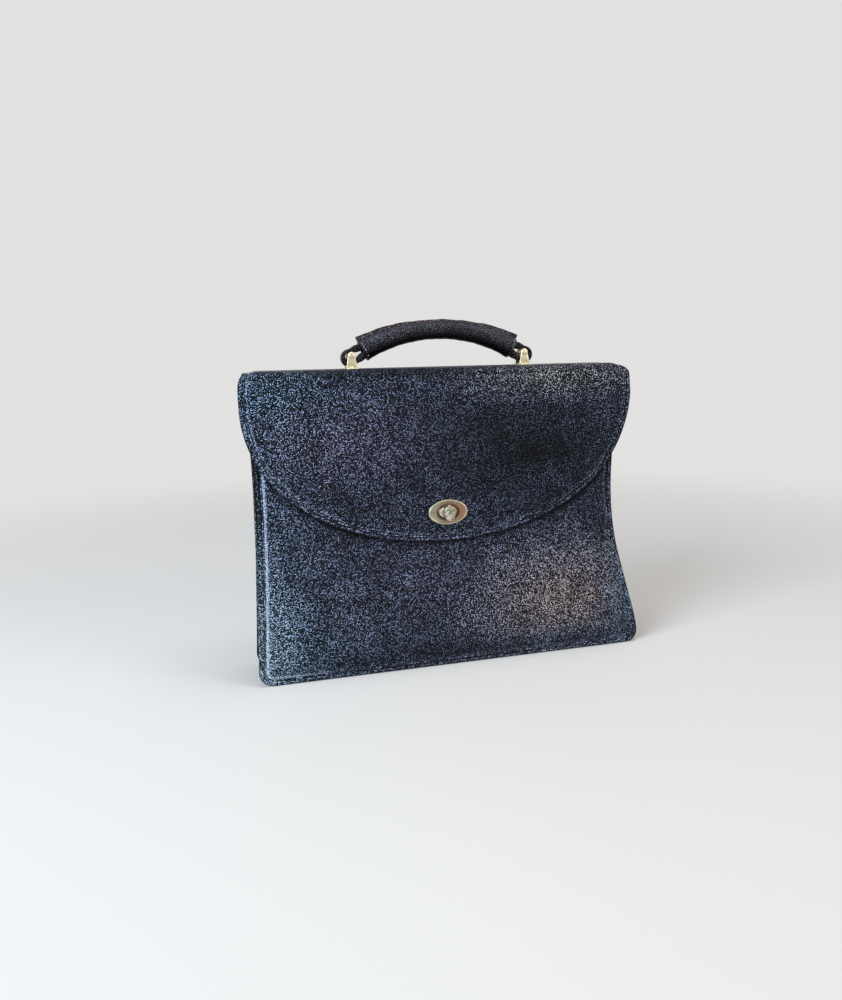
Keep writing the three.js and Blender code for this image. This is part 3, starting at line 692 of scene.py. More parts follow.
def makePlain(name, colour, rough, metallic=0.0, speck=None, bumpSize=0.0):
    # a plain finish with its own cloudiness: colour, gloss and height from two noises
    material, tree, shader, where = newMaterial(name)
    fine = noise(tree, where, plainLook["fine"], 3.0)
    mask = remap(tree, noise(tree, where, plainLook["cloud"], 5.0), *plainLook["specks"])
    other = speck or tuple(plainLook["darker"] * part for part in colour)
    fill(shader, {
        "Base Color": mixColour(tree, mask, colour, other),
        "Roughness": spread(tree, fine, rough),
        "Metallic": metallic,
    })
    if bumpSize:
        fill(shader, {"Normal": addBump(tree, fine, bumpSize, plainLook["bump"])})
    return material


threadLook = {"twist": 3.0, "bend": 1.0, "height": 0.0001, "bump": 0.6, "rough": 0.42}


def makeThread(name, tones):
    # each stitch's own tone is the first part of its map
    material, tree, shader, where = newMaterial(name, mapped=True)
    ownTone = addNode(tree, "SeparateXYZ", {"Vector": where}).outputs["X"]
    ramp = addNode(tree, "ValToRGB", {"Fac": ownTone})
    while len(ramp.color_ramp.elements) < len(tones):
        ramp.color_ramp.elements.new(0.5)
    for element, (at, colour) in zip(ramp.color_ramp.elements, tones):
        element.position = at
        element.color = (*colour, 1)
    twist = addNode(tree, "TexWave", {
        "Vector": where, "Scale": threadLook["twist"], "Distortion": threadLook["bend"],
    }, bands_direction="Y").outputs["Fac"]
    fill(shader, {
        "Base Color": ramp.outputs["Color"],
        "Normal": addBump(tree, twist, threadLook["height"], threadLook["bump"]),
        "Roughness": threadLook["rough"],
    })
    return material


metalLook = {"fine": 1500.0, "drift": 0.012, "stains": (0.42, 0.6), "rough": (0.2, 0.38),
             "height": 0.00002, "bump": 0.5}


def makeLockMetal(name, look):
    # Two colours of plate from the left to the right, clouded, with a brushed height: the metal's
    # own tones, and also painted light, paler on the left where the lamp falls and darker and
    # warmer on the right. The rim has a painted highlight and a painted shadow lies round the
    # eyelet: each band's share is 1 on its own oval.
    material, tree, shader, where = newMaterial(name)
    across = addNode(tree, "SeparateXYZ", {"Vector": where}).outputs["X"]
    cloud = noise(tree, where, look["cloud"], 5.0)
    fine = noise(tree, where, metalLook["fine"], 2.0)
    drift = calc(tree, "MULTIPLY_ADD", cloud, metalLook["drift"], across)
    side = remap(tree, drift, look["from"], look["to"])
    plate = mixColour(tree, side, look["left"], look["right"])
    mask = remap(tree, cloud, *metalLook["stains"], 0.0, look["stained"])
    plate = mixColour(tree, mask, plate, look["stain"])
    for wide, tall, low, high, amount, colour in look["bands"]:
        moved = vector(tree, "SUBTRACT", where, (lock["x"], 0, lock["z"]))
        scaled = vector(tree, "MULTIPLY", moved, (1 / wide, 0, 1 / tall))
        share = vector(tree, "LENGTH", scaled, output="Value")
        plate = mixColour(tree, remap(tree, share, low, high, 0.0, amount), plate, colour)
    fill(shader, {
        "Base Color": plate,
        "Roughness": spread(tree, fine, metalLook["rough"]),
        "Metallic": 1.0,
        "Normal": addBump(tree, fine, metalLook["height"], metalLook["bump"]),
    })
    return material


leatherSkin = makeLeather("grainedLeather", grain)
handleSkin = makeLeather("handleLeather", {
    **grain, "cell": 0.001, "height": 0.00012, "fleck": (0.2, 0.205, 0.26), "rough": (0.28, 0.45),
    "specular": 0.16, "plain": 0.14, "pitStart": 0.15, "glint": 0.3, "paintedLightSpots": []})
threadFinish = makeThread("waxedThread", [
    (0.0, (0.012, 0.014, 0.02)), (0.35, (0.04, 0.05, 0.07)), (0.7, (0.2, 0.25, 0.34)),
    (1.0, (0.6, 0.7, 0.88))])
finThread = makeThread("fadedThread", [
    (0.0, (0.03, 0.025, 0.026)), (0.5, (0.1, 0.075, 0.078)), (1.0, (0.26, 0.2, 0.2))])
liningFinish = makePlain("liningCloth", (0.02, 0.021, 0.025), (0.75, 0.95), bumpSize=0.0002)
boardFinish = makePlain("fibreBoard", (0.1, 0.07, 0.046), (0.8, 0.95), bumpSize=0.0001)
bracketFinish = makePlain("goldPlate", (0.78, 0.72, 0.5), (0.3, 0.42), 1.0, (0.7, 0.63, 0.42))
steelFinish = makePlain("zincPlate", (0.36, 0.36, 0.35), (0.45, 0.62), 1.0)
coreFinish = makePlain("pressedCore", (0.05, 0.05, 0.05), (0.6, 0.8), bumpSize=0.0001)
lockFinish = makeLockMetal("agedPlateWithPaintedLight", {
    "from": -0.008, "to": 0.015, "left": (0.36, 0.34, 0.25), "right": (0.34, 0.19, 0.11),
    "stain": (0.3, 0.25, 0.17), "stained": 0.7, "cloud": 240.0,
    # half sizes of an oval, where the change starts and ends as shares, its amount and colour;
    # the first is a painted highlight on the rim and the second a painted shadow round the eyelet
    "bands": [(0.0195, 0.0122, 0.9, 0.97, 0.65, (0.8, 0.75, 0.6)),
              (0.0114, 0.0084, 1.14, 1.0, 0.75, (0.1, 0.055, 0.035))]})
bossFinish = makeLockMetal("wornBossWithPaintedLight", {
    "from": -0.012, "to": 0.006, "left": (0.86, 0.8, 0.66), "right": (0.5, 0.3, 0.2),
    "stain": (0.6, 0.54, 0.42), "stained": 0.5, "cloud": 300.0, "bands": []})
knobFinish = makeLockMetal("wornKnobWithPaintedLight", {
    "from": -0.006, "to": 0.006, "left": (0.85, 0.76, 0.66), "right": (0.6, 0.44, 0.38),
    "stain": (0.13, 0.24, 0.17), "stained": 0.9, "cloud": 420.0, "bands": []})
print("materials made")


# Ovals round the lock's axis: each row is a half width, a half height and a y.

lockCentre = (lock["x"], lock["z"])


def ovalPiece(name, rows, centre, material, ring=False, sides=96):
    wide, tall, y = np.array(rows).T[:, :, None]
    turn = around(sides)
    points = join(centre[0] + wide * np.cos(turn), y, centre[1] + tall * np.sin(turn))
    return newPiece(name, points, ringQuads(len(rows), sides, ring), material, crisp=35)


def cutHole(piece, wide, tall, nearY, farY):
    rows = [(0, 0, nearY), (wide, tall, nearY), (wide, tall, farY), (0, 0, farY)]
    cutter = ovalPiece("cutter", rows, lockCentre, steelFinish, sides=64)
    hole = piece.modifiers.new("hole", "BOOLEAN")
    hole.operation, hole.solver, hole.object = "DIFFERENCE", "EXACT", cutter
    graph = bpy.context.evaluated_depsgraph_get()
    mesh = bpy.data.meshes.new_from_object(
        piece.evaluated_get(graph), preserve_all_data_layers=True, depsgraph=graph)
    piece.modifiers.clear()
    piece.data = mesh
    bpy.data.objects.remove(cutter)


# The leathers: the front wall, the flap, and the hide over the top and down the rear.

def sewnFaces(base, at, pillow, near=lambda w, distance: distance):
    # the outer face swells inside its seam, and the inner one lies the leather's thickness behind
    def outer(x, w, distance):
        return base(x, w, distance) + seamRelief(near(w, distance), at, pillow)

    def inner(x, w, distance):
        return base(x, w, distance) - bag["leather"] + rimDrop(near(w, distance), seam["round"])

    return outer, inner


def roundCorner(before, corner, after, reach, count=10):
    # an arc as a rational curve: its middle weight is the cosine of half the turn
    start = corner + reach * (before - corner) / np.linalg.norm(before - corner)
    end = corner + reach * (after - corner) / np.linalg.norm(after - corner)
    t = np.linspace(0, 1, count)[:, None]
    turn = math.acos(np.dot(corner - start, end - corner) / reach ** 2)
    weight = math.cos(turn / 2)
    total = (1 - t) ** 2 + 2 * weight * t * (1 - t) + t ** 2
    return ((1 - t) ** 2 * start + 2 * weight * t * (1 - t) * corner + t ** 2 * end) / total


def outlineOf(topRows, edge, lower, sideCount, columns):
    # The two sides, from their straight rows down, with the bottom between them, and how many
    # those rows are. `lower` gives a side's line below its rows, and its share of the bottom.
    sides, lows = {}, {}
    for side in signOf:
        path, lows[side] = lower(side)
        path = evenly(path, sideCount + 1)
        sides[side] = np.vstack([join(edge(side, topRows), topRows), path[1:]])
    bottom = np.vstack([lows["left"], lows["right"][::-1]])
    return sides["left"], evenly(bottom, columns), sides["right"], len(topRows)


def wallOutline(topRows, sideCount, columns):
    def lower(side):
        # down to the middle of the round corner, and on from there
        z = np.linspace(topRows[-1], 0.0, 90)
        path = join(wallEdge(side, z), z)
        corner = path[-1]
        arc = roundCorner(path[-8], corner, corner * np.array([0, 1]), bag["cornerReach"])
        upper = path[path[:, 1] > arc[0, 1] + 0.001]
        return np.vstack([upper, arc[:6]]), arc[5:]

    return outlineOf(topRows, wallEdge, lower, sideCount, columns)


def flapSide(side, turn):
    # a half oval: the width goes with a power of the cosine, and the drop with one of the sine
    bend = 2 / flap["ovalPower"]
    drop = np.sin(turn) ** bend
    x = flap["shift"] * drop + signOf[side] * bag["halfWidth"] * np.cos(turn) ** bend
    return join(x, flap["shoulder"] - flap["ovalDrop"] * drop)


def flapOutline(topRows, sideCount, columns):
    def lower(side):
        w = np.linspace(topRows[-1], flap["shoulder"], 12)[:-1]
        oval = flapSide(side, np.linspace(0, flap["ovalCorner"], 80))
        low = flapSide(side, np.linspace(flap["ovalCorner"], math.pi / 2 - 1e-4, 60))
        return np.vstack([join(hideSide(side, w), w), oval]), low

    return outlineOf(topRows, hideSide, lower, sideCount, columns)


topEdgeRows = wallTop - np.array([0, 0.0001, 0.0003, 0.0006, 0.0011, 0.002, 0.0035, 0.0044, 0.0049,
                                  0.0054, 0.0059, 0.0064, 0.0072, 0.0085, 0.011])
frontOuter, frontInner = sewnFaces(frontFace, belly["seam"], seam["pillow"],
                                   lambda z, distance: np.minimum(distance, wallTop - z))


def frontTone(x, z, distance):
    return seamTone(x, distance, belly["seam"], *seam["wallTones"]) - shadeTone(x, z - foldZ)


frontGrid = sewnGrid(*wallOutline(topEdgeRows, 64, 90), rimRings)
frontLeather = shellPiece("front_leather", frontGrid, frontPlace, frontOuter, frontInner,
                          leatherSkin, -foldZ, frontTone)
cutHole(frontLeather, *lock["wallHole"])
finishPiece(frontLeather, "bag", "leather", "front_panel")
print("front wall made")


def flapBase(x, w, distance):
    # the front's swell, at the flap's own width, less its edge's lean where it hangs
    z = np.minimum(foldZ + w, foldZ)
    bulge = bag["frontBulge"] + wander(x, z)
    swell = np.where(w < 0, climb(x, z, bulge, -bag["halfWidth"], bag["halfWidth"]), 0)
    lean = flap["fall"] * (1 - smoothStep(distance / flap["fallReach"]))
    return swell - lean * smoothStep(-w / flap["hangReach"])


def flapTone(x, w, distance):
    return seamTone(x, distance, flap["seam"], *seam["flapTones"]) - foldTone(w)


flapOuter, flapInner = sewnFaces(flapBase, flap["seam"], seam["flapPillow"])
flapRows = np.concatenate([
    np.linspace(splitW, quarter, 6), np.linspace(quarter, 0, 15)[1:], [-0.003, -0.007]])
flapGrid = sewnGrid(*flapOutline(flapRows, 60, 96), rimRings)
flapLeather = shellPiece("flap_leather", flapGrid, hidePlace, flapOuter, flapInner, leatherSkin,
                         tone=flapTone)
cutHole(flapLeather, *lock["flapHole"])
finishPiece(flapLeather, frontFold, "leather", "flap_panel")
print("flap made")


def rearBase(x, q, distance=0):
    z = np.minimum(foldZ + rearWallW + q, foldZ)
    return np.where(-q > rearWallW, rearFace(x, z), 0)


def rearTone(x, q, distance):
    return seamTone(x, distance, belly["seam"], *seam["wallTones"]) - foldTone(-q)


def rearOutline(sideCount, columns):
    over = np.concatenate([
        np.linspace(splitW, rearFoldW, 6), np.linspace(rearFoldW, rearWallW, 15)[1:]])
    below = foldZ - np.array([0.003, 0.008])
    *paths, straight = wallOutline(below, sideCount, columns)
    left, bottom, right = [path - (0, foldZ) - (0, rearWallW) for path in paths]
    left = np.vstack([join(hideSide("left", over), -over), left])
    right = np.vstack([join(hideSide("right", over), -over), right])
    return left, bottom, right, len(over) + straight


rearOuter, rearInner = sewnFaces(rearBase, belly["seam"], seam["pillow"])
rearPaths = rearOutline(60, 90)
rearGrid = sewnGrid(*rearPaths, rimRings)
rearLeather = shellPiece("rear_leather", rearGrid, rearPlace, rearOuter, rearInner, leatherSkin,
                         tone=rearTone)
finishPiece(rearLeather, rearFold, "leather", "rear_panel", "top_panel")
print("rear made")


# Boards and linings follow the leather they back, deeper in.

layers = {
    "inset": 0.012,
    "boardDrop": 0.008,       # of the boards' tops below the front wall's
    "liningDrop": 0.003,
    "floor": 0.0025,
    "topRows": np.array([0, 0.0001, 0.0005, 0.002]),
    "slabRows": np.array([0, 0.04, 0.15, 0.4, 0.7, 1]),        # as shares of a slab's soft edge
}


def layerPiece(name, outline, inset, place, base, depth, thickness, material):
    radius = thickness / 2

    def outer(x, w, distance):
        return base(x, w, distance) - depth - rimDrop(distance, radius)

    def inner(x, w, distance):
        return base(x, w, distance) - depth - thickness + rimDrop(distance, radius)

    grid = sewnGrid(*outline, liningRings, inset)
    return shellPiece(name, grid, place, outer, inner, material)


rows = wallTop - layers["boardDrop"] - layers["topRows"]
for side, place, face in (("front", frontPlace, frontFace), ("rear", rearWallPlace, rearFace)):
    board = layerPiece(side + "_stiffener", wallOutline(rows, 30, 44), layers["inset"], place, face,
                       boardDepth, bag["board"], boardFinish)
    finishPiece(board, "bag", "board", side + "_board")

rows = wallTop - layers["liningDrop"] - layers["topRows"]
frontLining = layerPiece("front_cloth", wallOutline(rows, 40, 60), layers["inset"], frontPlace,
                         frontFace, liningDepth, bag["lining"], liningFinish)
cutHole(frontLining, *lock["wallHole"])
finishPiece(frontLining, "bag", "lining", "front_lining")

rearLining = layerPiece("rear_cloth", rearPaths, layers["inset"], rearPlace, rearBase,
                        liningDepth, bag["lining"], liningFinish)
finishPiece(rearLining, rearFold, "lining", "rear_lining", "top_lining")


def flapLiningFace(x, w, distance):
    # under the top it lies below the board, and it rises to the leather round the fold
    deeper = liningDepth - boardDepth
    near = distance + flap["liningInset"]
    start, reach = flap["liningRise"]
    return flapBase(x, w, near) - deeper * smoothStep((w - start * quarter) / (reach * quarter))


flapLining = layerPiece("flap_cloth", flapOutline(flapRows, 50, 80), flap["liningInset"],
                        hidePlace, flapLiningFace, boardDepth, flap["liningThickness"],
                        liningFinish)
cutHole(flapLining, *lock["flapHole"])
finishPiece(flapLining, frontFold, "lining", "flap_lining")
print("boards and linings made")


# The gussets: a strip sewn behind both rims and creased inward.

gusset = {
    "thickness": 0.0012,
    "setback": 0.0015,
    "flange": 0.007,
    "creaseBottom": 0.007,
    "creaseTop": 0.021,
    "rows": 110,
    "bendReach": 0.0045,
    "creaseBend": 0.004,
    "wrinkle": 0.0006,
    "waves": ((70, 9, 0), (173, -14, 1)),      # up the strip, round it, and the start
    "still": 0.14,                             # the share at each rim that has no wrinkle
    "stillReach": 0.1,
    "toneAndPaintedLight": -0.75,
}


def roundedSections(corners, reaches, steps):
    # Each row of `corners` is one section. Between the straight runs every corner is a
    # curve: (1-t)^2 of its start, 2t(1-t) of the corner and t^2 of its end.
    t = np.linspace(0, 1, steps)[None, :, None]
    parts = [corners[:, :1]]
    for index in range(1, corners.shape[1] - 1):
        corner = corners[:, index]
        start, end = [(corner + reaches[index] * unit(other - corner))[:, None]
                      for other in (corners[:, index - 1], corners[:, index + 1])]
        parts.append((1 - t) ** 2 * start + 2 * t * (1 - t) * corner[:, None] + t ** 2 * end)
    parts.append(corners[:, -1:])
    return np.concatenate(parts, 1)


def makeGusset(side, look):
    inward = -signOf[side]
    z = np.linspace(layers["floor"], wallTop - layers["liningDrop"], look["rows"])
    # the wall's round corner draws the strip in at the bottom
    low = np.clip(1 - z / bag["cornerReach"], 0, 1)
    edge = wallEdge(side, z) + inward * bag["cornerReach"] * (1 - np.sqrt(1 - low ** 2))
    rim = edge + inward * look["setback"]
    bend = rim + inward * look["flange"]
    deep = look["creaseBottom"] + (look["creaseTop"] - look["creaseBottom"]) * z / wallTop
    face = bag["halfDepth"] - bag["leather"] - bag["gap"] - look["thickness"] / 2
    corners = np.stack([
        join(rim, -face - frontFace(rim, z)), join(bend, -face - frontFace(bend, z)),
        join(bend + inward * deep, 0 * z),
        join(bend, face + rearFace(bend, z)), join(rim, face + rearFace(rim, z))], 1)
    reaches = [0, look["bendReach"], look["creaseBend"], look["bendReach"], 0]
    path = roundedSections(corners, reaches, 12)
    length = lengthAlong(path)
    share = length / length[:, -1:]
    normal = -toLeft(unit(np.gradient(path, axis=1)))
    height = z[:, None] + 0 * share
    free = smoothStep((share - look["still"]) / look["stillReach"])
    free = free * smoothStep((1 - look["still"] - share) / look["stillReach"])
    fold = sum(np.sin(up * height + on * share + start) for up, on, start in look["waves"])
    path = path + normal * (look["wrinkle"] * free * fold)[..., None]
    points = [np.dstack([path + half * look["thickness"] * normal, height]) for half in (0.5, -0.5)]
    index = np.arange(share.size).reshape(share.shape)
    rim = np.concatenate([index[0], index[1:, -1], index[-1, -2::-1], index[-2::-1, 0]])
    made = newPiece(side + "_gusset_leather", points, shellQuads(quadsOf(index), index.size, rim),
                    leatherSkin, [join(length, height)] * 2,
                    extra={"toneAndPaintedLight": np.full(2 * index.size, look["toneAndPaintedLight"])})
    return finishPiece(made, "bag", "leather", side + "_gusset")


for side in signOf:
    makeGusset(side, gusset)
print("gussets made")


# The base: leather, board and lining as thin slabs with soft edges.

def slabPiece(name, low, high, edge, material):
    # A flat sheet over x and y. Near its edges both faces draw together in a quarter oval.
    near = layers["slabRows"] * edge

    def places(start, end, count):
        middle = np.linspace(start + edge, end - edge, count)[1:-1]
        return np.concatenate([start + near, middle, end - near[::-1]])

    x, y = np.meshgrid(places(low.x, high.x, 60), places(low.y, high.y, 12))
    distance = np.minimum(np.minimum(x - low.x, high.x - x), np.minimum(y - low.y, high.y - y))
    drop = rimDrop(distance, edge) * (high.z - low.z) / (2 * edge)
    quads = quadsOf(np.arange(x.size).reshape(x.shape))
    points = [join(x, y, high.z - drop), join(x, y, low.z + drop)]
    faces = np.vstack([quads, quads[:, ::-1] + x.size])
    return newPiece(name, points, faces, material, [join(x, y)] * 2)


for name, node, edge, material, slot in (
        ("base_leather", "base_panel", 0.0011, leatherSkin, "leather"),
        ("base_stiffener", "base_board", 0.0006, boardFinish, "board"),
        ("base_cloth", "base_lining", 0.0004, liningFinish, "lining"),
        ("top_stiffener", "top_board", 0.0006, boardFinish, "board")):
    slab = slabPiece(name, *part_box(node), edge, material)
    finishPiece(slab, "top" if node == "top_board" else "bag", slot, node)
print("base made")


# Stitches: every one is a short thread laid in the groove, with its two ends sunk.

stitch = {
    "pitch": 0.0036,
    "length": 0.0029,
    "radius": 0.00048,
    "arch": 0.0003,
    "sink": 0.00005,
    "shares": np.array([0, 0.06, 0.2, 0.5, 0.8, 0.94, 1]),
    "sides": 6,
    "taper": 0.6,             # the power that draws the ends in
    "probe": (0.0005, 0.0003),         # steps off and along the leather, which show its ways
    "topGap": 0.009,          # bare, under the front wall's top edge
}


def stitchRow(name, path, place, lift, seed, body, look=stitch, thread=threadFinish):
    # Rings round the thread: thin at the ends, and lifted along the leather's normal by a sine.
    # The path is in the leather's own map, so a step along it is a true length.
    total = lengthAlong(path)[-1]
    count = int(total / look["pitch"])
    shares, sides = look["shares"], look["sides"]
    starts = (np.arange(count) + 0.5) * total / count - look["length"] / 2
    at = starts[:, None] + look["length"] * shares

    def surface(along, extra=0.0):
        x, w = alongPath(path, along.ravel())
        return place(x, w, lift(x, w) + extra).reshape(*along.shape, 3)

    off, along = look["probe"]
    centre = surface(at)
    normal = unit(surface(at, off) - centre)
    ahead = unit(surface(at + along) - surface(at - along))
    beside = np.cross(ahead, normal)
    bow = np.sin(math.pi * shares)
    centre = centre + normal * (look["arch"] * bow)[:, None]
    size = look["radius"] * np.sqrt(np.clip(bow, 0.0, 1)) ** look["taper"]
    turn = around(sides)[:, None]
    ring = beside[..., None, :] * np.cos(turn) + normal[..., None, :] * np.sin(turn)
    points = centre[..., None, :] + ring * size[:, None, None]
    one = len(shares) * sides
    firsts = np.arange(count)[:, None, None] * one
    faces = (ringQuads(len(shares), sides) + firsts).reshape(-1, 4)
    tones = np.random.default_rng(seed).uniform(0, 1, count)
    uv = join(np.repeat(tones, one), np.tile(np.repeat(shares, sides), count))
    made = newPiece(name, points, faces, thread, uv, merge=1e-7)
    return finishPiece(made, body, "handle_leather" if body == "handle" else "leather")


flapSeam = insetEdge(*flapOutline(flapRows, 160, 260), flap["seam"])[0]
frontSeam = insetEdge(*wallOutline(topEdgeRows, 160, 240), belly["seam"])[0]
height = frontSeam[:, 1]
frontSeam = frontSeam[(height < wallTop - stitch["topGap"]) | (height > wallTop)]
rearSeam = insetEdge(*rearPaths, belly["seam"])[0]
for name, line, place, outer, at, body, seed in (
        ("flap", flapSeam, hidePlace, flapOuter, flap["seam"], frontFold, 1),
        ("front", frontSeam, frontPlace, frontOuter, belly["seam"], "bag", 2),
        ("rear", rearSeam, rearPlace, rearOuter, belly["seam"], rearFold, 3)):
    stitchRow(name + "_stitches", line, place, lambda x, w: outer(x, w, at) + stitch["sink"],
              seed, body)
print("stitches made")


# The lock: the plate on the flap, and the boss and the knob on the front wall.

lockPlate = {
    "slot": (0.01, 0.007),
    "eyeletWall": 0.0008,
    "lip": 0.0005,
    "thickness": 0.0012,
    "round": 0.0005,
    # steps in from the rim, in bead widths, and how far each stands back from the face
    "bead": 0.0011,
    "beadSteps": ((1, -0.00016), (1.5, -0.00008), (1.9, 0.00022)),
    "foot": (0.0016, 0.0013),      # the dish ends so far from the slot
}
boss = {"shank": 0.004, "bore": 0.0025, "edge": 0.0007, "recess": 0.002}
knob = {
    "thickness": 0.006,
    "rows": [(0, 0), (0.76, 0), (0.86, 0.03), (0.95, 0.12), (1, 0.27), (1, 0.72), (0.985, 0.83),
             (0.95, 0.905), (0.9, 0.955), (0.82, 0.985), (0.7, 0.995), (0.4, 1), (0, 1)],
    "stem": 0.0022,
    "sunk": 0.001,                 # of the stem, in the head
    "end": 0.0032,
    "endThickness": 0.001,
    "bevel": (0.0004, 0.0003),
}


def halfSizes(low, high):
    return np.array([(high.x - low.x) / 2, (high.z - low.z) / 2])


def makeLockPlate(look):
    low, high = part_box("lock_plate")
    half, slot = halfSizes(low, high), np.array(look["slot"])
    wall, lip, edge = look["eyeletWall"], look["lip"], look["round"]
    face = low.y + lip
    back = face + look["thickness"]
    rows = [(*half, back), (*half, face + edge)]
    rows += [(*(half - inset), face + sunk) for sunk, inset in quarterRound(edge, 6)[1:]]
    rows += [(*(half - steps * look["bead"]), face + sunk) for steps, sunk in look["beadSteps"]]
    steps, hollow = look["beadSteps"][-1]
    rim, foot = half - steps * look["bead"], slot + look["foot"]
    for share in np.linspace(0, 1, 8)[1:]:
        y = face + hollow * (1 - math.sin(math.pi / 2 * share))
        rows.append((*(rim * (1 - share) + foot * share), y))
    for turn in np.linspace(0, math.pi, 10):
        border = wall / 2 + (wall / 2) * math.cos(turn)
        rows.append((*(slot + border), face - lip * math.sin(turn)))
    rows += [(*slot, high.y), (*(slot + wall), high.y), (*(slot + wall), back)]
    made = ovalPiece("oval_plate", rows, lockCentre, lockFinish, ring=True, sides=128)
    return finishPiece(made, "flap", "lock_metal", "lock_plate")


def makeBoss(look):
    low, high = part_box("lock_base")
    half = halfSizes(low, high)
    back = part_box("front_panel")[0].y - bag["gap"] / 2
    shank, bore, edge = look["shank"], look["bore"], look["edge"]
    rows = [(bore, bore, low.y), (*(half - edge - look["recess"]), low.y)]
    rows += [(*(half - inset), low.y + sunk) for inset, sunk in quarterRound(edge, 6)]
    rows += [(*half, back), (shank, shank, back), (shank, shank, high.y), (bore, bore, high.y)]
    made = ovalPiece("lock_boss", rows, lockCentre, bossFinish, ring=True)
    return finishPiece(made, "bag", "lock_metal", "lock_base")


def makeKnob(look):
    low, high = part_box("turn_knob")
    half = halfSizes(low, high)
    back = low.y + look["thickness"]
    rows = [(*(share * half), back - forward * look["thickness"])
            for share, forward in look["rows"]]
    head = ovalPiece("knob_head", rows, lockCentre, knobFinish, sides=72)
    finishPiece(head, "knob", "lock_metal", "turn_knob")
    stem, end, start = look["stem"], look["end"], back - look["sunk"]
    inside = high.y - look["endThickness"]
    inset, bevel = look["bevel"]
    rows = [(0, start), (stem, start), (stem, inside), (end, inside), (end, high.y - bevel),
            (end - inset, high.y), (0, high.y)]
    rows = [(radius, radius, y) for radius, y in rows]
    shaft = ovalPiece("knob_stem", rows, lockCentre, steelFinish, sides=32)
    return finishPiece(shaft, "knob", "lock_metal")


makeLockPlate(lockPlate)
makeBoss(boss)
makeKnob(knob)
print("lock made")


# The brackets: a foot, and two tapered cheeks that hold the pin between them.

bracket = {
    "foot": 0.0015,
    "footCorner": 0.002,
    "footHalf": 0.0058,
    "cheekInner": 0.0053,
    "cheek": 0.002,
    "base": 0.0054,
    "tip": 0.0033,
    "tipFrom": 0.16,          # the angle at which the straight sides meet the round tip
    "bevel": 0.0005,
    # the pin's head from its middle out: less than the radius, and back from the end
    "pinHead": ((0.0012, 0.0), (0.0004, 0.00015), (0.0, 0.0005), (0.0, 0.0009)),
    "pinStem": 0.0009,        # less than the head's radius
    "rivetHead": 0.0025,
    "rivetDome": 0.0009,
    "rivetStem": 0.0013,      # less than the head's radius
}


def stackPiece(name, outline, levels, place, material):
    # An outline is set in by each level's inset, along its own normals, and capped at both ends.
    inward = toLeft(unit(np.roll(outline, -1, 0) - np.roll(outline, 1, 0)))
    middle = np.tile(outline.mean(0), (len(outline), 1))
    rings = [middle] + [outline + inset * inward for inset, height in levels] + [middle]
    heights = [height for inset, height in (levels[0], *levels, levels[-1])]
    points = [place(*ring.T, np.full(len(ring), height)) for ring, height in zip(rings, heights)]
    return newPiece(name, points, ringQuads(len(rings), len(outline)), material, crisp=35)


def softEnds(low, high, edge):
    # levels of a plate with both its edges rounded by a quarter circle
    first = [(inset, low + sunk) for inset, sunk in quarterRound(edge, 5)]
    return first + [(inset, high + low - height) for inset, height in reversed(first)]


def makeBracket(side, look):
    low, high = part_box(side + "_bracket")
    pinLow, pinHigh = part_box(side + "_pin")
    x, pinZ = (low.x + high.x) / 2, (pinLow.z + pinHigh.z) / 2
    wide, deep = look["footHalf"], (high.y - low.y) / 2
    corners = np.array([(-wide, -deep), (wide, -deep), (wide, deep), (-wide, deep)])
    outline = [roundCorner(corners[index - 1], corners[index], corners[(index + 1) % 4],
                           look["footCorner"], 8) for index in range(4)]
    foot = stackPiece(side + "_bracket_foot", np.vstack(outline),
                      softEnds(low.z, low.z + look["foot"], look["bevel"]),
                      lambda u, v, height: join(x + u, topMiddleY + v, height), bracketFinish)
    finishPiece(foot, "top", "bracket_metal", side + "_bracket")

    cheekLow = low.z + look["foot"] / 2
    turn = np.linspace(look["tipFrom"], math.pi - look["tipFrom"], 22)
    tip = join(look["tip"] * np.cos(turn), pinZ + look["tip"] * np.sin(turn))
    up = np.linspace(0, 1, 9)[:-1, None]
    right = np.array([[look["base"], cheekLow]]) * (1 - up) + tip[:1] * up
    left = (np.array([[-look["base"], cheekLow]]) * (1 - up) + tip[-1:] * up)[::-1]
    outline = np.vstack([right, tip, left])
    for end, sign in (("near", -1), ("far", 1)):
        faces = sorted(sign * (look["cheekInner"] + more) for more in (0, look["cheek"]))
        cheek = stackPiece(f"{side}_bracket_{end}_cheek", outline, softEnds(*faces, look["bevel"]),
                           lambda u, v, height: join(x + u, topMiddleY + height, v), bracketFinish)
        finishPiece(cheek, "top", "bracket_metal", side + "_bracket")

    radius = (pinHigh.x - pinLow.x) / 2
    half = [(0, pinHigh.y + 0.0001)]
    half += [(radius - less, pinHigh.y - back) for less, back in look["pinHead"]]
    half.append((radius - look["pinStem"], half[-1][1]))
    half += [(size, 2 * topMiddleY - y) for size, y in reversed(half)]
    rows = [(size, size, y) for size, y in half]
    pin = ovalPiece(side + "_bracket_pin", rows, (x, pinZ), bracketFinish, sides=32)
    finishPiece(pin, "top", "bracket_metal", side + "_pin")


def makeRivet(number, look):
    node = f"bracket_rivet_{number}"
    low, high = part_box(node)
    x, y, _ = middleOf(node)
    radius, dome = look["rivetHead"], look["rivetDome"]
    stem = radius - look["rivetStem"]
    outline = radius * join(np.cos(around(28)), np.sin(around(28)))
    levels = [(0, low.z), (0, low.z + dome), (stem, low.z + dome), (stem, high.z - dome),
              (0, high.z - dome)]
    levels += [(radius * (1 - math.cos(turn)), high.z - dome + dome * math.sin(turn))
               for turn in np.linspace(0, 1.5, 8)[1:]]
    rivet = stackPiece(f"bracket_rivet_head_{number}", outline, levels,
                       lambda u, v, height: join(x + u, y + v, height), bracketFinish)
    finishPiece(rivet, "top", "bracket_metal", node)


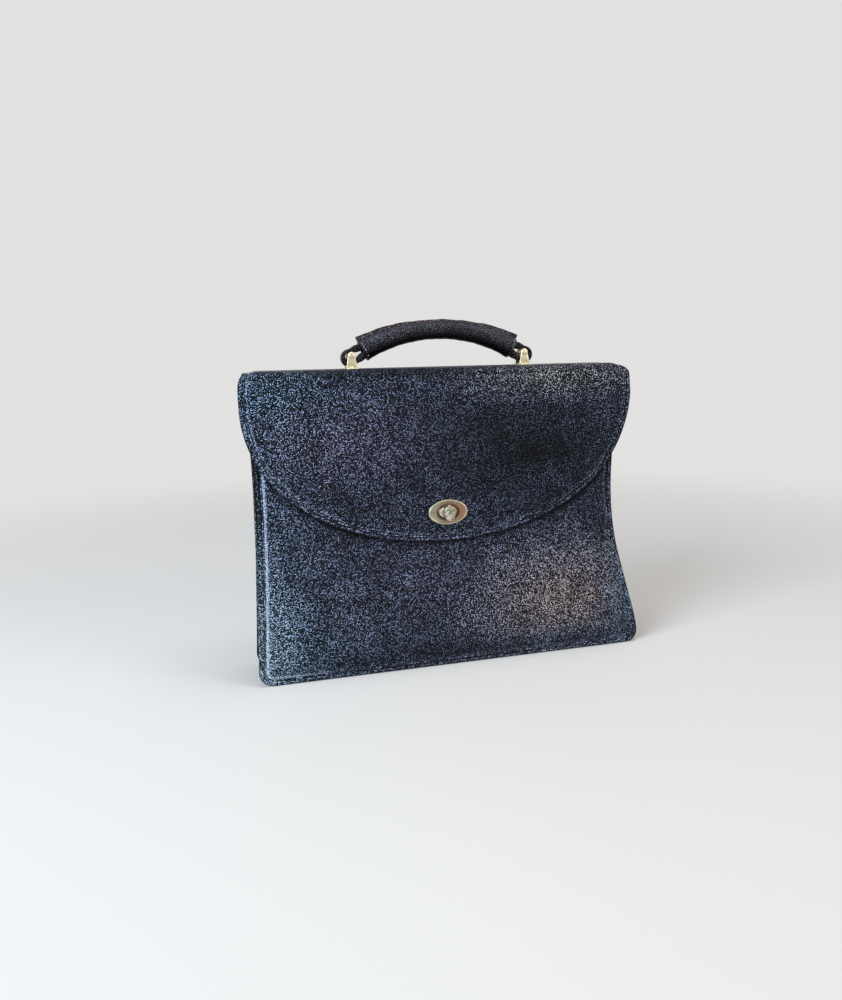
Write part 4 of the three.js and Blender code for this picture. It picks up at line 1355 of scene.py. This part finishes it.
for side in signOf:
    makeBracket(side, bracket)
for number in (1, 2, 3, 4):
    makeRivet(number, bracket)
print("brackets made")


# The handle: leather wrapped round a core and sewn along its top, which leaves a fin.

handle = {
    "halfTurn": math.radians(27),
    "midRadius": 0.0084,
    "endRadius": 0.0104,
    "ripples": ((0.012, 240, 2), (0.01, 611, 0)),      # of the radius: share, pitch and start
    "skin": 0.002,
    "fin": 0.0032,
    "finMid": 0.002,
    "finEnd": 0.004,
    "finFoot": (0.0012, 0.0013),       # beside the fin and above the round, where the two meet
    "finEdge": 0.0006,
    "finStitch": 0.0016,               # above the round
    "wave": 0.0003,
    "waves": ((0.6, 310, 0), (0.8, 127, 1)),
    "steps": 170,
    "endRows": np.array([0, 0.0001, 0.0003, 0.0006, 0.001, 0.0015]),
    # a painted highlight on the grip's top and a painted shade below it: the amount, a height and a
    # start
    "paintedTopHighlight": (1.1, 0.009, 0.35),
    "paintedUnderShade": (0.9, 0.006, 0.1),
    "loopInner": 0.005,
    "loop": 0.0035,
    "loopWidth": 0.01,
    "loopOffset": 0.0012,
    "neck": 0.006,
    "insert": 0.015,
    "gap": 0.0003,
    "pinRadius": 0.002,
    "outerGrowth": 0.0009,
    "strandGrowth": 0.0018,
    "strand": 0.0043,                  # from the tail's middle to each strand's
    "meet": 0.002,                     # before the neck's end, where the strands turn outward
    "swell": (0.05, 0.75),             # the outer growth's turn from its middle, and its reach
    "thicken": (0.003, 0.007),         # behind the eye, where the strands' growth starts, its reach
    "squareness": (0.4, 0.5),          # powers that make the strap's section a soft box
}
pinX, _, pinZ = middleOf("right_pin")
eyeSlack = math.sqrt((handle["loopInner"] - handle["pinRadius"]) ** 2 - handle["loopOffset"] ** 2)
eyeX, eyeZ = pinX + handle["loopOffset"], pinZ - (eyeSlack - handle["gap"])
loopReach = handle["loopInner"] + handle["loop"] + handle["neck"]
arcRadius = (eyeX - loopReach * math.cos(handle["halfTurn"])) / math.sin(handle["halfTurn"])
arcZ = eyeZ + loopReach * math.sin(handle["halfTurn"]) - arcRadius * math.cos(handle["halfTurn"])
gripEnd = handle["halfTurn"] * arcRadius


def handlePlace(along, sideways, up):
    # a point of a section square to the arc, `along` being a length on the arc
    turn = along / arcRadius
    reach = arcRadius + up
    return join(reach * np.sin(turn), topMiddleY + sideways, arcZ + reach * np.cos(turn))


def gripRadius(share):
    return handle["midRadius"] + (handle["endRadius"] - handle["midRadius"]) * share ** 2


def finHeight(along, share):
    wave = sum(size * np.sin(along * pitch + start) for size, pitch, start in handle["waves"])
    height = handle["finMid"] + (handle["finEnd"] - handle["finMid"]) * share
    return height + handle["wave"] * wave * (1 - share ** 4)


def gripSection(along):
    # For each place a closed outline: round the bottom from the fin's one foot to the other, up
    # one side of the fin, over its top and down the other side.
    share, along = np.abs(along)[:, None] / gripEnd, along[:, None]
    ripple = sum(size * np.sin(along * pitch + start) for size, pitch, start in handle["ripples"])
    radius = gripRadius(share) * (1 + ripple)
    half, edge = handle["fin"] / 2, handle["finEdge"]
    beside, above = handle["finFoot"]
    foot = np.arcsin((half + beside) / radius)
    turn = foot + (2 * math.pi - 2 * foot) * np.linspace(0, 1, 44)
    top = radius + finHeight(along, share)
    low = radius * np.cos(foot) + above
    sideUp = low + (top - edge - low) * np.linspace(0, 1, 5)
    side = -half + 0 * sideUp
    crown = half * np.sin(np.linspace(-1, 1, 9) * math.pi / 2) + 0 * radius
    crownUp = top - edge * (1 - np.sqrt(np.clip(1 - (crown / half) ** 6, 0, 1)))
    sideways = np.hstack([radius * np.sin(turn), side, crown, -side])
    up = np.hstack([radius * np.cos(turn), sideUp, crownUp, sideUp[:, ::-1]])
    cut = np.hstack([0 * turn, side * 0, np.ones_like(crown), side * 0])
    return sideways, up, cut


def makeGrip(look):
    # Sections along the arc, drawn in at both ends to the bore that the loops enter.
    *near, inner = look["endRows"]
    near = np.array(near)
    middle = np.linspace(-gripEnd + inner, gripEnd - inner, look["steps"])
    body = np.concatenate([-gripEnd + near, middle, gripEnd - near[::-1]])
    sideways, up, cut = gripSection(body)
    drawn = rimDrop(np.minimum(body + gripEnd, gripEnd - body), look["finEdge"])[:, None]
    keep = 1 - drawn / np.hypot(sideways, up)
    sideways, up = sideways * keep, up * keep
    bore = gripRadius(np.abs(body)[:, None] / gripEnd) - look["skin"]
    angle = np.arctan2(sideways, up)
    deep = gripEnd - look["insert"]
    places = np.concatenate([[-deep, -deep, -gripEnd], body, [gripEnd, deep, deep]])

    def capped(part, inside):
        # the section's rows, and at each end two of the bore's and its middle
        first, last = inside[:1], inside[-1:]
        return np.vstack([0 * first, first, first, part, last, last, 0 * last])

    sideways, up = capped(sideways, bore * np.sin(angle)), capped(up, bore * np.cos(angle))
    along = places[:, None] + 0 * sideways
    # a painted highlight along the grip's top and a painted shade under it
    (wearAndPaintedLight, high, start), (dark, deep, below) = look["paintedTopHighlight"], look["paintedUnderShade"]
    toneAndPaintedLight = wearAndPaintedLight * smoothStep(up / high + start) - dark * smoothStep(-up / deep + below)
    made = newPiece("grip_leather", handlePlace(along, sideways, up), ringQuads(*along.shape),
                    handleSkin, join(along, lengthAlong(join(sideways, up))), crisp=50,
                    extra={"cutEdge": capped(cut, 0 * cut), "toneAndPaintedLight": toneAndPaintedLight})
    return finishPiece(made, "handle", "handle_leather", "handle_grip")


def makeLoop(side, look):
    # A strap as a closed section carried along a line: in along the tail, round the eye, and back
    # out on the tail's other side. It is thicker on its outer side and along the tail.
    middle = look["loopInner"] + look["loop"] / 2
    apart, meetAt = look["strand"], loopReach - look["meet"]
    tail = loopReach + look["insert"]
    lean = math.acos((middle - apart) / meetAt)      # where the straight strands leave the round
    turn = np.linspace(math.pi - lean, -(math.pi - lean), 60)
    roundPart = middle * join(np.cos(turn), np.sin(turn))
    meet = np.array([-meetAt, apart])
    first = np.vstack([[-tail, apart], [-(tail + loopReach) / 2, apart], meet])
    slope = meet + (roundPart[0] - meet) * np.linspace(0, 1, 9)[1:-1, None]
    back = np.vstack([first, slope])[::-1] * (1, -1)
    path = evenly(np.vstack([first, slope, roundPart, back]), 130)
    path[1:-1] = (path[:-2] + 2 * path[1:-1] + path[2:]) / 4
    (turned, swellReach), (start, reach) = look["swell"], look["thicken"]
    outward = bell(np.arctan2(path[:, 1], path[:, 0]) + turned, swellReach) * (path[:, 0] > 0)
    strand = smoothStep((-path[:, 0] - start) / reach)
    normal = -toLeft(unit(np.gradient(path, axis=0)))      # towards the eye
    path = path + normal * (look["outerGrowth"] * outward)[:, None]
    halfThick = look["loop"] / 2 + look["outerGrowth"] * outward + look["strandGrowth"] * strand
    # a box with round corners: both cosine and sine raised to a small power
    turn = around(28)
    acrossPower, thickPower = look["squareness"]
    across = np.sign(np.cos(turn)) * np.abs(np.cos(turn)) ** acrossPower
    thick = np.sign(np.sin(turn)) * np.abs(np.sin(turn)) ** thickPower
    flat = path[:, None] + normal[:, None] * (halfThick[:, None] * thick)[..., None]
    cos, sin = math.cos(look["halfTurn"]), math.sin(look["halfTurn"])
    x, z = flat[..., 0] * cos + flat[..., 1] * sin, -flat[..., 0] * sin + flat[..., 1] * cos
    y = topMiddleY + look["loopWidth"] / 2 * across
    index = np.arange(x.size).reshape(x.shape)
    faces = ringQuads(*x.shape).tolist() + [index[0].tolist(), index[-1].tolist()]
    uv = join(np.linspace(0, 0.08, len(path))[:, None], 0.001 * np.arange(len(turn)))
    points = join(signOf[side] * (eyeX + x), y, eyeZ + z)
    made = newPiece(side + "_loop_strap", points, faces, handleSkin, uv, crisp=50)
    return finishPiece(made, "handle", "handle_leather", side + "_handle_loop")


makeGrip(handle)
for side in signOf:
    makeLoop(side, handle)

# Stitches along both sides of the fin, and a row round the grip near each end, from the fin's
# one foot to the other.
finStitch = {**stitch, "pitch": 0.0042, "length": 0.003, "radius": 0.0004, "clear": 0.004}
endStitch = {**stitch, "pitch": 0.0031, "length": 0.0021, "radius": 0.00036, "inset": 0.0018,
             "proud": 1.006, "fromFin": 0.45}
endAlong = gripEnd - endStitch["inset"]
endRadius = gripRadius(endAlong / gripEnd)


def finPlace(sign):
    def place(along, w, offset):
        radius = gripRadius(np.abs(along) / gripEnd)
        foot = np.sqrt(radius ** 2 - (handle["fin"] / 2 + handle["finFoot"][0]) ** 2)
        return handlePlace(along, sign * (handle["fin"] / 2 + offset), foot + handle["finStitch"])
    return place


def ringPlace(along, w, offset):
    radius = endRadius * endStitch["proud"] + offset
    turn = w / endRadius
    return handlePlace(along, radius * np.sin(turn), radius * np.cos(turn))


def level(x, w):
    # these rows lie on the handle's own round, with nothing added
    return 0 * x


reach = gripEnd - finStitch["clear"]
finLine = join(np.linspace(-reach, reach, 200), 0.0)
for name, sign, seed in (("near", -1, 4), ("far", 1, 5)):
    stitchRow(f"fin_stitches_{name}", finLine, finPlace(sign), level, seed, "handle", finStitch,
              finThread)
endTurn = np.linspace(endStitch["fromFin"], 2 * math.pi - endStitch["fromFin"], 80) * endRadius
for name, seed in (("left", 6), ("right", 7)):
    ringLine = join(signOf[name] * endAlong, endTurn)
    stitchRow(f"end_stitches_{name}", ringLine, ringPlace, level, seed, "handle", endStitch)
print("handle made")


# The plain inner parts keep their CAD shape and get a finish.
inner = {
    "handle_core": coreFinish,
    "knob_washer": steelFinish,
    "lock_back_washer": steelFinish,
    "lock_plate_back": steelFinish,
    "left_backing_plate": steelFinish,
    "right_backing_plate": steelFinish,
}
for node, finish in inner.items():
    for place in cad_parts[node].material_slots:
        place.material = finish
print("inner parts finished")


# The stage, the lamps and the camera at the photograph's angle.

camera = {
    "place": (-0.2032, -0.7199, 0.3091),
    "turn": math.radians(-14.218),
    "tilt": math.radians(-10.661),
    "roll": math.radians(1.336),
    "focalPixels": 740,
    "imageHeight": 1000,
    "sensor": 36,
}
stage = {
    "radius": 14.0,
    "colour": (0.8, 0.79, 0.77),
    "far": (0.76, 0.755, 0.75),     # the colour that it fades to, and the world's
    "fade": (0.3, 1.5),             # where that starts, and where it is whole
    "ambient": 0.25,
    "ambientColour": (0.9, 0.93, 1.0),
}
# each lamp's name, place, target, size, power and colour
lamps = [
    ("windowLeft", (-1.85, -1.15, 1.2), (0, 0, 0.2), (1.3, 1.3), 57, (0.82, 0.91, 1.0)),
    ("overhead", (0.1, -0.35, 2.2), (0, 0, 0.15), (1.4, 1.0), 17, (1.0, 0.98, 0.95)),
    ("warmRight", (1.7, -1.5, 1.0), (0.05, 0, 0.1), (0.9, 0.9), 14, (1.0, 0.86, 0.72)),
]


def makeCamera(look):
    data = bpy.data.cameras.new("camera")
    data.sensor_width = look["sensor"]
    data.lens = look["focalPixels"] * look["sensor"] / look["imageHeight"]
    turned = (Matrix.Rotation(look["turn"], 3, "Z") @ Matrix.Rotation(look["tilt"], 3, "X")
              @ Matrix.Rotation(look["roll"], 3, "Y"))
    right, forward, up = turned.col
    matrix = Matrix((right, up, -forward)).transposed().to_4x4()
    matrix.translation = look["place"]
    made = newObject("camera", data)
    made.matrix_world = matrix
    bpy.context.scene.camera = made


def seenRays(tree):
    # 1 for what the camera sees, straight or in metal and glass, and 0 for the light itself
    rays = addNode(tree, "LightPath").outputs
    seen = calc(tree, "MAXIMUM", rays["Is Camera Ray"], rays["Is Glossy Ray"])
    return calc(tree, "MAXIMUM", seen, rays["Is Transmission Ray"])


def makeStage(look):
    # rings round the origin, further apart outward; the far floor glows in the world's colour
    rings = np.concatenate([[0], np.geomspace(0.5, look["radius"], 12)])[:, None]
    turn = around(72)
    material, tree, shader, where = newMaterial("paleFloor")
    fill(shader, {"Base Color": (*look["colour"], 1), "Roughness": 0.85})
    glow = addNode(tree, "Emission", {"Color": (*look["far"], 1)})
    away = vector(tree, "LENGTH", where, output="Value")
    near, far = look["fade"]
    share = remap(tree, away, near, far, interpolation_type="SMOOTHSTEP")
    share = calc(tree, "MULTIPLY", share, seenRays(tree))
    both = addNode(tree, "MixShader", {0: share, 1: shader.outputs[0], 2: glow.outputs[0]})
    output = next(node for node in tree.nodes if node.type == "OUTPUT_MATERIAL")
    fill(output, {"Surface": both.outputs[0]})
    points = join(rings * np.cos(turn), rings * np.sin(turn), 0.0)
    newPiece("floor", points, ringQuads(len(rings), len(turn)), material)


def makeWorld(look):
    world = bpy.data.worlds.new("softWorld")
    world.use_nodes = True
    tree = world.node_tree
    light = fill(tree.nodes["Background"], {
        "Color": (*look["ambientColour"], 1), "Strength": look["ambient"]})
    pale = addNode(tree, "Background", {"Color": (*look["far"], 1), "Strength": 1.0})
    both = addNode(tree, "MixShader", {0: seenRays(tree), 1: light.outputs[0], 2: pale.outputs[0]})
    fill(tree.nodes["World Output"], {"Surface": both.outputs[0]})
    bpy.context.scene.world = world


def makeLamp(name, place, target, size, power, colour):
    data = bpy.data.lights.new(name, "AREA")
    data.shape = "RECTANGLE"
    data.size, data.size_y = size
    data.energy = power
    data.color = colour
    made = newObject(name, data)
    made.location = place
    made.rotation_mode = "QUATERNION"
    made.rotation_quaternion = (Vector(target) - Vector(place)).to_track_quat("-Z", "Y")
    made.visible_camera = False


makeCamera(camera)
makeStage(stage)
makeWorld(stage)
for lamp in lamps:
    makeLamp(*lamp)
bpy.context.scene.view_settings.view_transform = "Standard"
print("stage and camera made")
